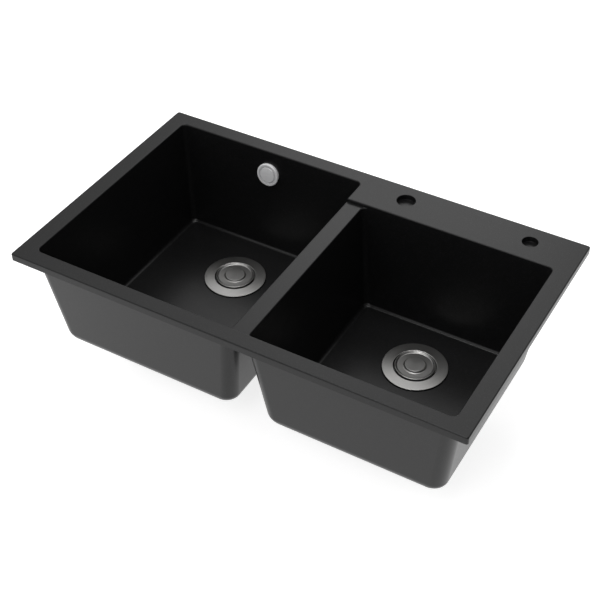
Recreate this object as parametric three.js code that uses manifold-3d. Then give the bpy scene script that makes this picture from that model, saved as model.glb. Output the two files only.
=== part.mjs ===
// Double bowl kitchen sink in black quartz composite, with its two basket strainer
// wastes and the overflow that drains the left bowl into the left waste.
//
// Millimetres. +Z is up, +Y is towards the wall behind the sink and +X is to the right of
// someone who stands in front of it. The origin is the centre of the worktop cut-out, on the
// plane where the underside of the rim lies on the worktop.

import * as THREE from "three";
import { mergeGeometries, mergeVertices } from "three/addons/utils/BufferGeometryUtils.js";
import Module from "manifold-3d";

const wasm = await Module();
wasm.setup();

// ---------------------------------------------------------------- sizes of the moulding

const RIM_LENGTH = 820;
const RIM_DEPTH = 490;
const RIM_THICKNESS = 14;
const RIM_CORNER_R = 4;
const RIM_ARRIS = 2; // rounding along the upper edges of the rim and of the bowls
const RIM_LOWER_CHAMFER = 1;
const SIDE_BAND = 32; // rim from its left and right edges to the bowls
const FRONT_BAND = 28.5;
const BACK_BAND = 30; // behind the left bowl
const TAP_DECK = 83.5; // behind the right bowl

const LEFT_BOWL_WIDTH = 377;
const DIVIDER_WIDTH = 30;
const DIVIDER_DROP = 6; // the divider lies this much under the rim
const BOWL_DEPTH = 200;
const DRAFT_DEG = 7.1; // lean of every bowl wall
const BOWL_CORNER_R = 20;
const FLOOR_FILLET_R = 10;
const WALL = 9;
const FLOOR_THICKNESS = 9;
const OUTER_CORNER_R = 23;
const OUTER_FILLET_R = 30;

const LEFT_DRAIN_FROM_BACK = 132.5; // from the bowl's back edge to the middle of its waste
const RIGHT_DRAIN_FROM_BACK = 127.5;
const DRAIN_RECESS = 2; // depth of the seat under the strainer flange
const TAP_HOLE_D = 33;
const TAP_HOLE_FROM_RIGHT = 320;
const SIDE_HOLE_D = 27; // smaller place beside the tap, for a soap dispenser
const SIDE_HOLE_FROM_RIGHT = 91.5;
const HOLES_FROM_BACK = 38.5;
const KNOCKOUT_DEPTH = 10; // the holes stay blind until they are knocked through

// ---------------------------------------------------------------- sizes of the wastes

const SEAT_GAP = 0.3; // between pieces that touch
const FLANGE_D = 114;
const FLANGE_PROUD = 3.8; // crown of the flange above the bowl's floor
const FLANGE_FALL = 2.2; // from the crown to the flange's outer edge
const FLANGE_CREASE_R = 44.5;
const FLANGE_CREASE_FALL = 0.5; // from the crown to the crease, where the slope gets steeper
const STEEL = 1.5; // sheet of the strainer bowl
const THROAT_R = 37.2;
const THROAT_ROLL_R = 1.8;
const THROAT_STRAIGHT = 17;
const CUP_DEPTH = 41;
const CUP_BOTTOM_R = 29;
const CUP_FLOOR_FILLET_R = 7;
const CUP_WINDOWS = 6;
const CUP_WINDOW_IN_R = 10;
const CUP_WINDOW_OUT_R = 19;
const CUP_BAR = 5; // between two windows
const FLOOR_HOLE_CLEARANCE = 5.5; // round the cup, in the sink's floor
const FLANGE_SEAL_WIDTH = 8;
const FLANGE_SEAL_INSET = 3; // from the flange's edge to the seal's

const CLOSING_TRAVEL = 5; // basket, from open down to shut
const LID_R = 35.2;
const LID_CREST = 3.3; // above the flange's crown when the basket stands open
const LID_CREST_R = 33.4;
const LID_DISH_R = 28.5;
const LID_SKIRT = 2.5;
const LID_SHEET = 1.2;
const LID_DISH_STEP = 0.7;
const KNOB_R = 17;
const KNOB_TOP = 3.9;
const KNOB_EDGE = 1.2;
const KNOB_WAIST = 0.6; // how far the waist lies inside the grip's edge
const KNOB_FLARE = 5.8; // from the waist out to the foot
const KNOB_STUD_R = 3;
const KNOB_STUD_LENGTH = 9;

const BASKET_SHEET = 1;
const BASKET_RIM_R = 36.5;
const BASKET_RIM_DROP = 10.5; // from the crown of the flange
const BASKET_WALL_R = 33.4;
const BASKET_FOOT_R = 25.5;
const BASKET_DEPTH = 18.5;
const BASKET_FOOT_FILLET = 3;
const BASKET_ROLL = 1; // from its rim into its wall
const BASKET_SLOTS = 14; // upright ones in its wall
const BASKET_SLOT_WIDTH = 2.4;
const BASKET_SLOT_MARGIN = 2; // over and under an upright slot
const FLOOR_SLOTS = 12; // radial ones in its floor
const FLOOR_SLOT_IN_R = 12.5;
const FLOOR_SLOT_LENGTH = 11;
const STEM_R = 5;
const STEM_SHOULDER_R = 10.5;
const STEM_SHOULDER = 2;
const SOCKET_WALL = 1.3;
const SOCKET_LENGTH = 5.5; // under the basket's floor
const SOCKET_HEADROOM = 1.5; // left over the screw head when the basket is shut
const SOCKET_SLOT = 1.5;
const SOCKET_LIP = 0.8;
const PLUG_R = 23;
const PLUG_WEB = 3.2;
const PLUG_TAPER = 3;
const PLUG_LIP = 5;

const SCREW_HEAD_R = 6;
const SCREW_HEAD = 8.2;
const SCREW_R = 2.8;
const SCREW_LENGTH = 13;
const SCREW_CHAMFER = 1;
const SCREW_SLOT = 1.6;
const SCREW_SLOT_DEPTH = 2;

const GASKET_THICKNESS = 3;
const GASKET_WIDTH = 10;
const BODY_FLANGE_R = 57;
const BODY_FLANGE = 3.5;
const BODY_R = 47;
const BODY_WALL = 3;
const BODY_STRAIGHT_TO = 46; // depth under the crown where the funnel starts
const BODY_FUNNEL = 18;
const OUTLET_R = 23.9; // 1 1/2 inch tail
const OUTLET_WALL = 3.9;
const OUTLET_LENGTH = 27;
const BODY_RIBS = 8;
const BODY_RIB = 2;
const BODY_RIB_DROP = 9;
const BODY_RIB_SETBACK = 1.5; // from the flange's edge
const BOSS_R = 6.5;
const BOSS_LENGTH = 16;
const BOSS_ARMS = 3;
const BOSS_ARM = 3;
const BOSS_ARM_TOP = 2.5;
const BOSS_ARM_HEIGHT = 10;

// ---------------------------------------------------------------- sizes of the overflow

const OVERFLOW_DOWN = 45; // from the top of the rim to the middle of the cover
const OVERFLOW_HOLE_R = 16;
const COVER_R = 24;
const COVER_STAND = 4.4; // from the wall to the back of the cover's face
const COVER_FACE = 1.9;
const COVER_DOME = 0.9;
const COVER_GROOVE_R = 17;
const COVER_GROOVE = 0.7;
const COVER_SKIRT = 1.6;
const COVER_BEVEL = 2;
const COVER_BEVEL_DEPTH = 0.8;
const COVER_GROOVE_HALF = 1.5;
const COVER_NOTCHES = 3;
const COVER_NOTCH_WIDTH = 15;
const COVER_NOTCH_PITCH_DEG = 60;
const SPIDER_R = 20;
const SPIDER_FLANGE = 1.5;
const SPIDER_COLLAR_R = 15.4;
const SPIDER_BORE_R = 13;
const SPIDER_COLLAR = 5;
const SPIDER_ARMS = 3;
const SPIDER_ARM = 3;
const SPIDER_HUB_R = 4.8;
const SPIDER_HUB_DEPTH = 3;
const SPIDER_ARM_DEPTH = 2;
const COVER_SCREW_R = 1.9;
const COVER_SCREW_HEAD_R = 4;
const COVER_SCREW_HEAD = 2;
const COVER_SCREW_LENGTH = 24;
const ELBOW_SEAL = 3;
const ELBOW_SEAL_WIDTH = 6;
const ELBOW_R = 24;
const ELBOW_NECK = 34; // from the hole's middle down to the end of the chamber
const ELBOW_NECK_HALF = 11.5;
const ELBOW_CHAMBER = 19.5;
const ELBOW_WALL = 2.2;
const ELBOW_FLANGE = 1.5; // beyond the chamber's wall
const ELBOW_POST_R = 4.8;
const SPIGOT_LENGTH = 24;
const SPIGOT_OFF_WALL = 13.6; // middle of the spigot behind the sink's outer wall
const PIPE_R = 9.5; // spigot, hose ends and waste branch
const PIPE_WALL = 2;

const HOSE_CREST_R = 10.8;
const HOSE_ROOT_R = 9.3;
const HOSE_BORE_R = 7.8;
const HOSE_PITCH = 4;
const HOSE_CUFF = 22;
const HOSE_SIDES = 8;
const HOSE_RIBS_PER_BORE_RING = 5;
const NUT_R = 12.3;
const NUT_LENGTH = 20;
const NUT_RIBS = 8;
const NUT_RIB = 0.7;
const NUT_RIB_WIDTH = 2.2;
const NUT_OFF_BODY = 1.3; // from the waste body's wall to the nut
const BRANCH_DEPTH = 34; // under the crown of the flange

// ---------------------------------------------------------------- facets

const CORNER_STEPS = 5;
const ARRIS_STEPS = 2;
const FILLET_STEPS = 4;
const ROUND = 28;
const MEDIUM_ROUND = 24;
const SMALL_ROUND = 16;
const TINY_ROUND = 10;
const KNOB_FLARE_STEPS = 4;
const THROUGH = 2; // how far a cutter runs past a face

// ---------------------------------------------------------------- places worked out

const HALF_TURN = Math.PI;
const FULL_TURN = 2 * Math.PI;
const DRAFT = THREE.MathUtils.degToRad(DRAFT_DEG);
const LEAN = Math.tan(DRAFT);
const RIM_LEFT = -RIM_LENGTH / 2;
const RIM_RIGHT = RIM_LENGTH / 2;
const RIM_FRONT = -RIM_DEPTH / 2;
const RIM_BACK = RIM_DEPTH / 2;
const RIM_TOP = RIM_THICKNESS;
const FLOOR_TOP = RIM_TOP - BOWL_DEPTH;
const FLOOR_UNDER = FLOOR_TOP - FLOOR_THICKNESS;
const DIVIDER_TOP = RIM_TOP - DIVIDER_DROP;

// The openings at the level of the rim's top.
const LEFT_BOWL = {
  left: RIM_LEFT + SIDE_BAND,
  right: RIM_LEFT + SIDE_BAND + LEFT_BOWL_WIDTH,
  front: RIM_FRONT + FRONT_BAND,
  back: RIM_BACK - BACK_BAND,
};
const RIGHT_BOWL = {
  left: LEFT_BOWL.right + DIVIDER_WIDTH,
  right: RIM_RIGHT - SIDE_BAND,
  front: RIM_FRONT + FRONT_BAND,
  back: RIM_BACK - TAP_DECK,
};
const middle = (bowl) => (bowl.left + bowl.right) / 2;
const LEFT_DRAIN = { x: middle(LEFT_BOWL), y: LEFT_BOWL.back - LEFT_DRAIN_FROM_BACK };
const RIGHT_DRAIN = { x: middle(RIGHT_BOWL), y: RIGHT_BOWL.back - RIGHT_DRAIN_FROM_BACK };
const CROWN = FLOOR_TOP + FLANGE_PROUD; // level of the flange's crown

// Heights in a waste, counted from the crown of its flange.
const RECESS_AT = -FLANGE_PROUD - DRAIN_RECESS;
const SINK_UNDER_AT = -FLANGE_PROUD - FLOOR_THICKNESS;
const GASKET_AT = SINK_UNDER_AT - SEAT_GAP;
const BODY_AT = GASKET_AT - GASKET_THICKNESS - SEAT_GAP;
const CUP_UNDER_AT = -CUP_DEPTH - STEEL;
const BASKET_FLOOR_AT = -BASKET_RIM_DROP - BASKET_DEPTH;
const BASKET_UNDER_AT = BASKET_FLOOR_AT - BASKET_SHEET;
const SCREW_HEAD_AT = -CUP_DEPTH + SEAT_GAP;
const SCREW_TOP_AT = SCREW_HEAD_AT + SCREW_HEAD;
const SCREW_END_AT = SCREW_HEAD_AT - SCREW_LENGTH;
const SCREW_HOLE_R = SCREW_R + SEAT_GAP;
const CUP_OUTER_R = THROAT_R + STEEL;
const FLOOR_HOLE_R = CUP_OUTER_R + FLOOR_HOLE_CLEARANCE;
const FLANGE_R = FLANGE_D / 2;
const RECESS_R = FLANGE_R + 1;
const SOCKET_R = SCREW_HEAD_R + SEAT_GAP;
const SOCKET_OUTER_R = SOCKET_R + SOCKET_WALL;
const HUB_HOLE_R = SOCKET_OUTER_R + SEAT_GAP;
const BRANCH_REACH = BODY_R + NUT_OFF_BODY + NUT_LENGTH / 2; // from the waste's axis

// The overflow stands on the back wall of the left bowl. Its own axes are +Z out of the wall
// into the bowl and +Y up the wall, and its origin is the middle of the hole.
const OVERFLOW_Y = LEFT_BOWL.back - LEAN * OVERFLOW_DOWN;
const OVERFLOW_Z = RIM_TOP - OVERFLOW_DOWN;
const WALL_BACK_AT = -WALL * Math.cos(DRAFT);
const ELBOW_SEAL_AT = WALL_BACK_AT - SEAT_GAP;
const ELBOW_AT = ELBOW_SEAL_AT - ELBOW_SEAL - SEAT_GAP;
const SPIGOT_AT = WALL_BACK_AT - SPIGOT_OFF_WALL;
const SPIGOT_END = ELBOW_NECK + SPIGOT_LENGTH;

// ---------------------------------------------------------------- materials

function material(colour, roughness, metalness) {
  return new THREE.MeshStandardMaterial({ color: colour, roughness, metalness });
}
const composite = material(0x2a2a2c, 0.55, 0);
const brushedSteel = material(0xb9b8b4, 0.34, 1);
const polishedSteel = material(0xd4d4d2, 0.2, 1);
const blackPlastic = material(0x1b1b1c, 0.5, 0);
const whiteRubber = material(0xd9d8d3, 0.8, 0);
const blackRubber = material(0x161616, 0.85, 0);
const zincPlate = material(0xa9acb0, 0.3, 1);

// ---------------------------------------------------------------- making solids

// Merges shared vertices, drops the flat triangles at the poles of a revolve and turns the
// faces outwards.
function closed(geometry) {
  const bare = geometry.clone();
  bare.deleteAttribute("normal");
  bare.deleteAttribute("uv");
  const merged = mergeVertices(bare, 1e-4);
  const source = merged.index.array;
  const kept = [];
  for (let i = 0; i < source.length; i += 3) {
    const [a, b, c] = [source[i], source[i + 1], source[i + 2]];
    if (a !== b && b !== c && c !== a) kept.push(a, b, c);
  }
  merged.setIndex(kept);
  return signedVolume(merged) < 0 ? turnedOver(merged) : merged;
}

function signedVolume(geometry) {
  const position = geometry.attributes.position;
  const index = geometry.index.array;
  const [a, b, c] = [new THREE.Vector3(), new THREE.Vector3(), new THREE.Vector3()];
  let volume = 0;
  for (let i = 0; i < index.length; i += 3) {
    a.fromBufferAttribute(position, index[i]);
    b.fromBufferAttribute(position, index[i + 1]);
    c.fromBufferAttribute(position, index[i + 2]);
    volume += a.dot(b.cross(c)) / 6;
  }
  return volume;
}

function turnedOver(geometry) {
  const index = Array.from(geometry.index.array);
  for (let i = 0; i < index.length; i += 3) {
    [index[i + 1], index[i + 2]] = [index[i + 2], index[i + 1]];
  }
  geometry.setIndex(index);
  return geometry;
}

function solid(...geometries) {
  const merged = geometries.map(closed);
  const geometry = merged.length > 1 ? mergeGeometries(merged) : merged[0];
  return new wasm.Manifold(
    new wasm.Mesh({
      numProp: 3,
      vertProperties: new Float32Array(geometry.attributes.position.array),
      triVerts: new Uint32Array(geometry.index.array),
    }),
  );
}

function geometryOf(manifold) {
  const mesh = manifold.getMesh();
  const geometry = new THREE.BufferGeometry();
  geometry.setAttribute("position", new THREE.BufferAttribute(mesh.vertProperties, 3));
  geometry.setIndex(new THREE.BufferAttribute(mesh.triVerts, 1));
  const faceted = geometry.toNonIndexed();
  faceted.computeVertexNormals();
  return faceted;
}

// ---------------------------------------------------------------- outlines and profiles

function steps(count, value) {
  return Array.from({ length: count }, (_, i) => value(i));
}

function arc(x, y, radius, fromDeg, toDeg, count) {
  return steps(count + 1, (i) => {
    const angle = THREE.MathUtils.degToRad(fromDeg + ((toDeg - fromDeg) * i) / count);
    return [x + radius * Math.cos(angle), y + radius * Math.sin(angle)];
  });
}

function roundedRectangle({ left, right, front, back }, radius) {
  return [
    ...arc(right - radius, back - radius, radius, 0, 90, CORNER_STEPS),
    ...arc(left + radius, back - radius, radius, 90, 180, CORNER_STEPS),
    ...arc(left + radius, front + radius, radius, 180, 270, CORNER_STEPS),
    ...arc(right - radius, front + radius, radius, 270, 360, CORNER_STEPS),
  ];
}

function inset({ left, right, front, back }, by) {
  return { left: left + by, right: right - by, front: front + by, back: back - by };
}

// A solid through level outlines with as many points each, closed at both ends.
function loft(sections) {
  const count = sections[0].outline.length;
  const positions = sections.flatMap(({ outline, z }) => outline.flatMap(([x, y]) => [x, y, z]));
  const index = [];
  for (let s = 0; s + 1 < sections.length; s += 1) {
    for (let i = 0; i < count; i += 1) {
      const a = s * count + i;
      const b = s * count + ((i + 1) % count);
      index.push(a, b, b + count, a, b + count, a + count);
    }
  }
  const cap = sections[0].outline.map(([x, y]) => new THREE.Vector2(x, y));
  const last = (sections.length - 1) * count;
  for (const [a, b, c] of THREE.ShapeUtils.triangulateShape(cap, [])) {
    index.push(c, b, a, last + a, last + b, last + c);
  }
  const geometry = new THREE.BufferGeometry();
  geometry.setAttribute("position", new THREE.Float32BufferAttribute(positions, 3));
  geometry.setIndex(index);
  return geometry;
}

// A solid of revolution about Z from [radius, height] points.
function turned(points, segments = ROUND) {
  const profile = points.map(([radius, height]) => new THREE.Vector2(radius, height));
  return new THREE.LatheGeometry(profile, segments).rotateX(HALF_TURN / 2);
}

// A ring of revolution: its profile is closed on itself.
function ring(points, segments = ROUND) {
  return turned([...points, points[0]], segments);
}

function tube(innerR, outerR, low, high, segments = ROUND) {
  return ring([[innerR, low], [outerR, low], [outerR, high], [innerR, high]], segments);
}

function rod(radius, low, high, segments = ROUND) {
  return turned([[0, low], [radius, low], [radius, high], [0, high]], segments);
}

// A pressed sheet of revolution: one face is the line of points, and the other lies the
// sheet's thickness to the right of someone who walks along it.
function pressed(points, thickness, segments = ROUND) {
  const line = points.map(([r, z]) => new THREE.Vector2(r, z));
  const ways = steps(line.length - 1, (i) => line[i + 1].clone().sub(line[i]).normalize());
  const other = line.map((point, i) => {
    const before = ways[Math.max(i - 1, 0)];
    const after = ways[Math.min(i, ways.length - 1)];
    const side = new THREE.Vector2(before.y + after.y, -before.x - after.x).normalize();
    const reach = thickness / Math.max(side.dot(new THREE.Vector2(before.y, -before.x)), 0.5);
    return point.clone().addScaledVector(side, reach);
  });
  return ring([...points, ...other.reverse().map(({ x, y }) => [x, y])], segments);
}

function block(width, depth, height) {
  return new THREE.BoxGeometry(width, depth, height);
}

function extruded(points, height) {
  const shape = new THREE.Shape(points.map(([x, y]) => new THREE.Vector2(x, y)));
  return new THREE.ExtrudeGeometry(shape, { depth: height, bevelEnabled: false });
}

function ringSector(innerR, outerR, fromDeg, toDeg, height) {
  const outside = arc(0, 0, outerR, fromDeg, toDeg, 2);
  const inside = arc(0, 0, innerR, toDeg, fromDeg, 2);
  return extruded([...outside, ...inside], height);
}

// Copies of a geometry turned about Z.
function roundAbout(count, geometry, startDeg = 0) {
  return steps(count, (i) =>
    geometry.clone().rotateZ(THREE.MathUtils.degToRad(startDeg) + (FULL_TURN * i) / count),
  );
}

// ---------------------------------------------------------------- the moulding

// Rings of a bowl surface from its floor up: how far each lies inside the opening's outline
// at the rim, and its level. The fillet meets the floor and the leaning wall smoothly.
function bowlRings(floor, filletR, count) {
  const touch = floor + filletR - filletR * Math.sin(DRAFT);
  const centre = wallInset(touch) + filletR * Math.cos(DRAFT);
  return arc(centre, floor + filletR, filletR, 270, 180 + DRAFT_DEG, count);
}

function bowlLoft(bowl, cornerR, rings) {
  return loft(
    rings.map(([by, z]) => ({
      outline: roundedRectangle(inset(bowl, by), cornerR + Math.max(-by, 0)),
      z,
    })),
  );
}

// Inset of a bowl's wall at a level, from the opening's outline at the rim.
function wallInset(level) {
  return LEAN * (RIM_TOP - level);
}

// The rounded upper edge of an opening in a face at a level, and the cutter's top above it.
function lipRings(level) {
  const centre = wallInset(level - RIM_ARRIS) - RIM_ARRIS;
  return [
    ...arc(centre, level - RIM_ARRIS, RIM_ARRIS, 0, 90, ARRIS_STEPS),
    [centre, level + THROUGH],
  ];
}

function bowlHollow(bowl) {
  return bowlLoft(bowl, BOWL_CORNER_R, [
    ...bowlRings(FLOOR_TOP, FLOOR_FILLET_R, FILLET_STEPS),
    ...lipRings(RIM_TOP),
  ]);
}

function bowlShell(bowl) {
  const rings = bowlRings(FLOOR_UNDER, OUTER_FILLET_R, FILLET_STEPS);
  const top = DIVIDER_TOP;
  rings.push([wallInset(top), top]);
  return bowlLoft(inset(bowl, -WALL), OUTER_CORNER_R, rings);
}

function rimSlab() {
  const edge = { left: RIM_LEFT, right: RIM_RIGHT, front: RIM_FRONT, back: RIM_BACK };
  const rings = [
    [RIM_LOWER_CHAMFER, 0],
    [0, RIM_LOWER_CHAMFER],
    ...arc(RIM_ARRIS, RIM_TOP - RIM_ARRIS, RIM_ARRIS, 180, 90, ARRIS_STEPS),
  ];
  return loft(
    rings.map(([by, z]) => ({ outline: roundedRectangle(inset(edge, by), RIM_CORNER_R), z })),
  );
}

// Everything between the front rim and the tap deck over the divider, down to a level.
function overDivider(foot) {
  const rings = [[wallInset(foot), foot], ...lipRings(RIM_TOP)];
  const front = rings.map(([by, z]) => [RIGHT_BOWL.front + by, z]);
  const back = rings.map(([by, z]) => [RIGHT_BOWL.back - by, z]);
  const width = DIVIDER_WIDTH + 2 * BOWL_CORNER_R;
  const prism = extruded([...front.reverse(), ...back], width)
    .rotateX(HALF_TURN / 2)
    .rotateZ(HALF_TURN / 2)
    .translate(LEFT_BOWL.right - BOWL_CORNER_R, 0, 0);
  return solid(prism);
}

// The space over the lowered divider, with the rounding of the divider's two long edges.
function dividerHollow() {
  const foot = DIVIDER_TOP - 2 * RIM_ARRIS;
  const rings = [[wallInset(foot) + RIM_ARRIS, foot], ...lipRings(DIVIDER_TOP)];
  const edges = solid(bowlLoft(LEFT_BOWL, BOWL_CORNER_R, rings)).add(
    solid(bowlLoft(RIGHT_BOWL, BOWL_CORNER_R, rings)),
  );
  return overDivider(DIVIDER_TOP).add(overDivider(foot).intersect(edges));
}

function drainCut({ x, y }) {
  return solid(rod(FLOOR_HOLE_R, FLOOR_UNDER - THROUGH, FLOOR_TOP + THROUGH).translate(x, y, 0)).add(
    solid(rod(RECESS_R, FLOOR_TOP - DRAIN_RECESS, FLOOR_TOP + THROUGH).translate(x, y, 0)),
  );
}

function knockout(diameter, fromRight) {
  return rod(diameter / 2, RIM_TOP - KNOCKOUT_DEPTH, RIM_TOP + THROUGH, SMALL_ROUND).translate(
    RIM_RIGHT - fromRight,
    RIM_BACK - HOLES_FROM_BACK,
    0,
  );
}

function onOverflowWall(geometry) {
  return geometry.rotateX(HALF_TURN / 2 - DRAFT).translate(middle(LEFT_BOWL), OVERFLOW_Y, OVERFLOW_Z);
}

function sinkBody() {
  const holes = solid(
    knockout(TAP_HOLE_D, TAP_HOLE_FROM_RIGHT),
    knockout(SIDE_HOLE_D, SIDE_HOLE_FROM_RIGHT),
    onOverflowWall(rod(OVERFLOW_HOLE_R, WALL_BACK_AT - THROUGH, THROUGH, SMALL_ROUND)),
  );
  const hollows = solid(bowlHollow(LEFT_BOWL))
    .add(solid(bowlHollow(RIGHT_BOWL)))
    .add(dividerHollow());
  return solid(rimSlab())
    .add(solid(bowlShell(LEFT_BOWL)))
    .add(solid(bowlShell(RIGHT_BOWL)))
    .subtract(hollows)
    .subtract(drainCut(LEFT_DRAIN))
    .subtract(drainCut(RIGHT_DRAIN))
    .subtract(holes);
}

// ---------------------------------------------------------------- the fixed waste

// Pressed flange and cup in one, with windows in the cup's bottom for the water.
function strainerBowl() {
  const edge = FLANGE_R - STEEL / 2;
  const bottom = -CUP_DEPTH + CUP_FLOOR_FILLET_R;
  const sheet = [
    [FLANGE_R, -FLANGE_FALL - STEEL / 2],
    [edge, -FLANGE_FALL],
    [FLANGE_CREASE_R, -FLANGE_CREASE_FALL],
    ...arc(THROAT_R + THROAT_ROLL_R, -THROAT_ROLL_R, THROAT_ROLL_R, 90, 180, 3),
    [THROAT_R, -THROAT_STRAIGHT],
    ...arc(CUP_BOTTOM_R, bottom, CUP_FLOOR_FILLET_R, 0, -90, 3),
    [SCREW_HOLE_R, -CUP_DEPTH],
  ];
  const bar = THREE.MathUtils.radToDeg(CUP_BAR / CUP_WINDOW_OUT_R);
  const window = ringSector(
    CUP_WINDOW_IN_R,
    CUP_WINDOW_OUT_R,
    bar / 2,
    360 / CUP_WINDOWS - bar / 2,
    STEEL + 2 * THROUGH,
  ).translate(0, 0, CUP_UNDER_AT - THROUGH);
  return solid(pressed([...sheet].reverse(), STEEL)).subtract(
    solid(...roundAbout(CUP_WINDOWS, window)),
  );
}

// Ring of foam whose top follows the slope of the flange.
function flangeSeal() {
  const outer = FLANGE_R - FLANGE_SEAL_INSET;
  const inner = outer - FLANGE_SEAL_WIDTH;
  const fall = FLANGE_FALL - FLANGE_CREASE_FALL;
  const slope = fall / (FLANGE_R - STEEL / 2 - FLANGE_CREASE_R);
  const under = STEEL * Math.hypot(1, slope) + SEAT_GAP;
  const top = (r) => -FLANGE_CREASE_FALL - (r - FLANGE_CREASE_R) * slope - under;
  return ring([
    [inner, RECESS_AT + SEAT_GAP],
    [outer, RECESS_AT + SEAT_GAP],
    [outer, top(outer)],
    [inner, top(inner)],
  ], MEDIUM_ROUND);
}

function bodyGasket() {
  const outer = BODY_FLANGE_R - 1;
  return tube(outer - GASKET_WIDTH, outer, GASKET_AT - GASKET_THICKNESS, GASKET_AT, MEDIUM_ROUND);
}

// Cup-shaped plastic body that the screw pulls up under the sink, down to its threaded tail.
function wasteBody(branched) {
  const funnelFoot = BODY_STRAIGHT_TO + BODY_FUNNEL;
  const tailEnd = funnelFoot + OUTLET_LENGTH;
  const innerR = BODY_R - BODY_WALL;
  const outletBore = OUTLET_R - OUTLET_WALL;
  const outside = solid(
    turned([
      [0, BODY_AT],
      [BODY_FLANGE_R, BODY_AT],
      [BODY_FLANGE_R, BODY_AT - BODY_FLANGE],
      [BODY_R, BODY_AT - BODY_FLANGE],
      [BODY_R, -BODY_STRAIGHT_TO],
      [OUTLET_R, -funnelFoot],
      [OUTLET_R, -tailEnd],
      [0, -tailEnd],
    ]),
  );
  const inside = solid(
    turned([
      [0, BODY_AT + THROUGH],
      [innerR, BODY_AT + THROUGH],
      [innerR, -BODY_STRAIGHT_TO],
      [outletBore, -funnelFoot],
      [outletBore, -tailEnd - THROUGH],
      [0, -tailEnd - THROUGH],
    ]),
  );
  const ribs = solid(...roundAbout(BODY_RIBS, bodyRib(), 180 / BODY_RIBS));
  const bossTop = CUP_UNDER_AT - SEAT_GAP;
  const arm = block(innerR + BODY_WALL / 2, BOSS_ARM, BOSS_ARM_HEIGHT).translate(
    (innerR + BODY_WALL / 2) / 2,
    0,
    bossTop - BOSS_ARM_TOP - BOSS_ARM_HEIGHT / 2,
  );
  const boss = roundAbout(BOSS_ARMS, arm, -90)
    .reduce((whole, one) => whole.add(solid(one)), solid(bossRod(bossTop)))
    .intersect(outside)
    .subtract(solid(rod(SCREW_HOLE_R, SCREW_END_AT - 1, bossTop + THROUGH, TINY_ROUND)));
  let shell = outside.add(ribs);
  if (branched) shell = shell.add(solid(branchRod(PIPE_R, innerR, BRANCH_REACH)));
  shell = shell.subtract(inside);
  if (branched) {
    const bore = branchRod(PIPE_R - PIPE_WALL, innerR - THROUGH * 2, BRANCH_REACH + THROUGH);
    shell = shell.subtract(solid(bore));
  }
  return shell.add(boss);
}

function bossRod(top) {
  return rod(BOSS_R, top - BOSS_LENGTH, top, SMALL_ROUND);
}

// Stiffening rib between the body's flange and its wall.
function bodyRib() {
  const low = BODY_AT - BODY_FLANGE;
  const foot = BODY_R - BODY_WALL / 2;
  const tip = BODY_FLANGE_R - BODY_RIB_SETBACK;
  const outline = [
    [foot, low + 1],
    [foot, low - BODY_RIB_DROP],
    [BODY_R + 1, low - BODY_RIB_DROP],
    [tip, low],
    [tip, low + 1],
  ];
  return extruded(outline, BODY_RIB).translate(0, 0, -BODY_RIB / 2).rotateX(HALF_TURN / 2);
}

function branchRod(radius, from, to) {
  return rod(radius, from, to, SMALL_ROUND)
    .rotateX(-HALF_TURN / 2)
    .translate(0, 0, -BRANCH_DEPTH);
}

// Round-headed screw through the cup into the body. Its head is the post that the basket's
// socket grips.
function centreScrew() {
  const screw = solid(
    turned(
      [
        [0, SCREW_END_AT],
        [SCREW_R, SCREW_END_AT],
        [SCREW_R, SCREW_HEAD_AT],
        [SCREW_HEAD_R, SCREW_HEAD_AT],
        [SCREW_HEAD_R, SCREW_TOP_AT - SCREW_CHAMFER],
        [SCREW_HEAD_R - SCREW_CHAMFER, SCREW_TOP_AT],
        [0, SCREW_TOP_AT],
      ],
      SMALL_ROUND,
    ),
  );
  const slot = block(2 * SCREW_HEAD_R + THROUGH, SCREW_SLOT, 2 * SCREW_SLOT_DEPTH);
  return screw.subtract(solid(slot.translate(0, 0, SCREW_TOP_AT)));
}

// ---------------------------------------------------------------- the lift-out basket

function basket() {
  const rimTop = -BASKET_RIM_DROP;
  const sheet = [
    [BASKET_RIM_R, rimTop],
    [BASKET_WALL_R + BASKET_ROLL, rimTop],
    [BASKET_WALL_R, rimTop - BASKET_ROLL],
    [BASKET_FOOT_R + BASKET_FOOT_FILLET, BASKET_FLOOR_AT + BASKET_FOOT_FILLET],
    [BASKET_FOOT_R, BASKET_FLOOR_AT],
    [HUB_HOLE_R, BASKET_FLOOR_AT],
  ];
  const wallHeight = BASKET_DEPTH - BASKET_ROLL - BASKET_FOOT_FILLET;
  const slotHeight = wallHeight - 2 * BASKET_SLOT_MARGIN;
  const slotMiddle = rimTop - BASKET_ROLL - wallHeight / 2;
  const slotReach = (BASKET_WALL_R + BASKET_FOOT_R + BASKET_FOOT_FILLET) / 2;
  const slot = block(12, BASKET_SLOT_WIDTH, slotHeight).translate(slotReach, 0, slotMiddle);
  const floorSlot = block(FLOOR_SLOT_LENGTH, BASKET_SLOT_WIDTH, BASKET_SHEET + 2 * THROUGH).translate(
    FLOOR_SLOT_IN_R + FLOOR_SLOT_LENGTH / 2,
    0,
    (BASKET_FLOOR_AT + BASKET_UNDER_AT) / 2,
  );
  return solid(pressed([...sheet].reverse(), BASKET_SHEET, MEDIUM_ROUND)).subtract(
    solid(...roundAbout(BASKET_SLOTS, slot), ...roundAbout(FLOOR_SLOTS, floorSlot)),
  );
}

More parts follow.
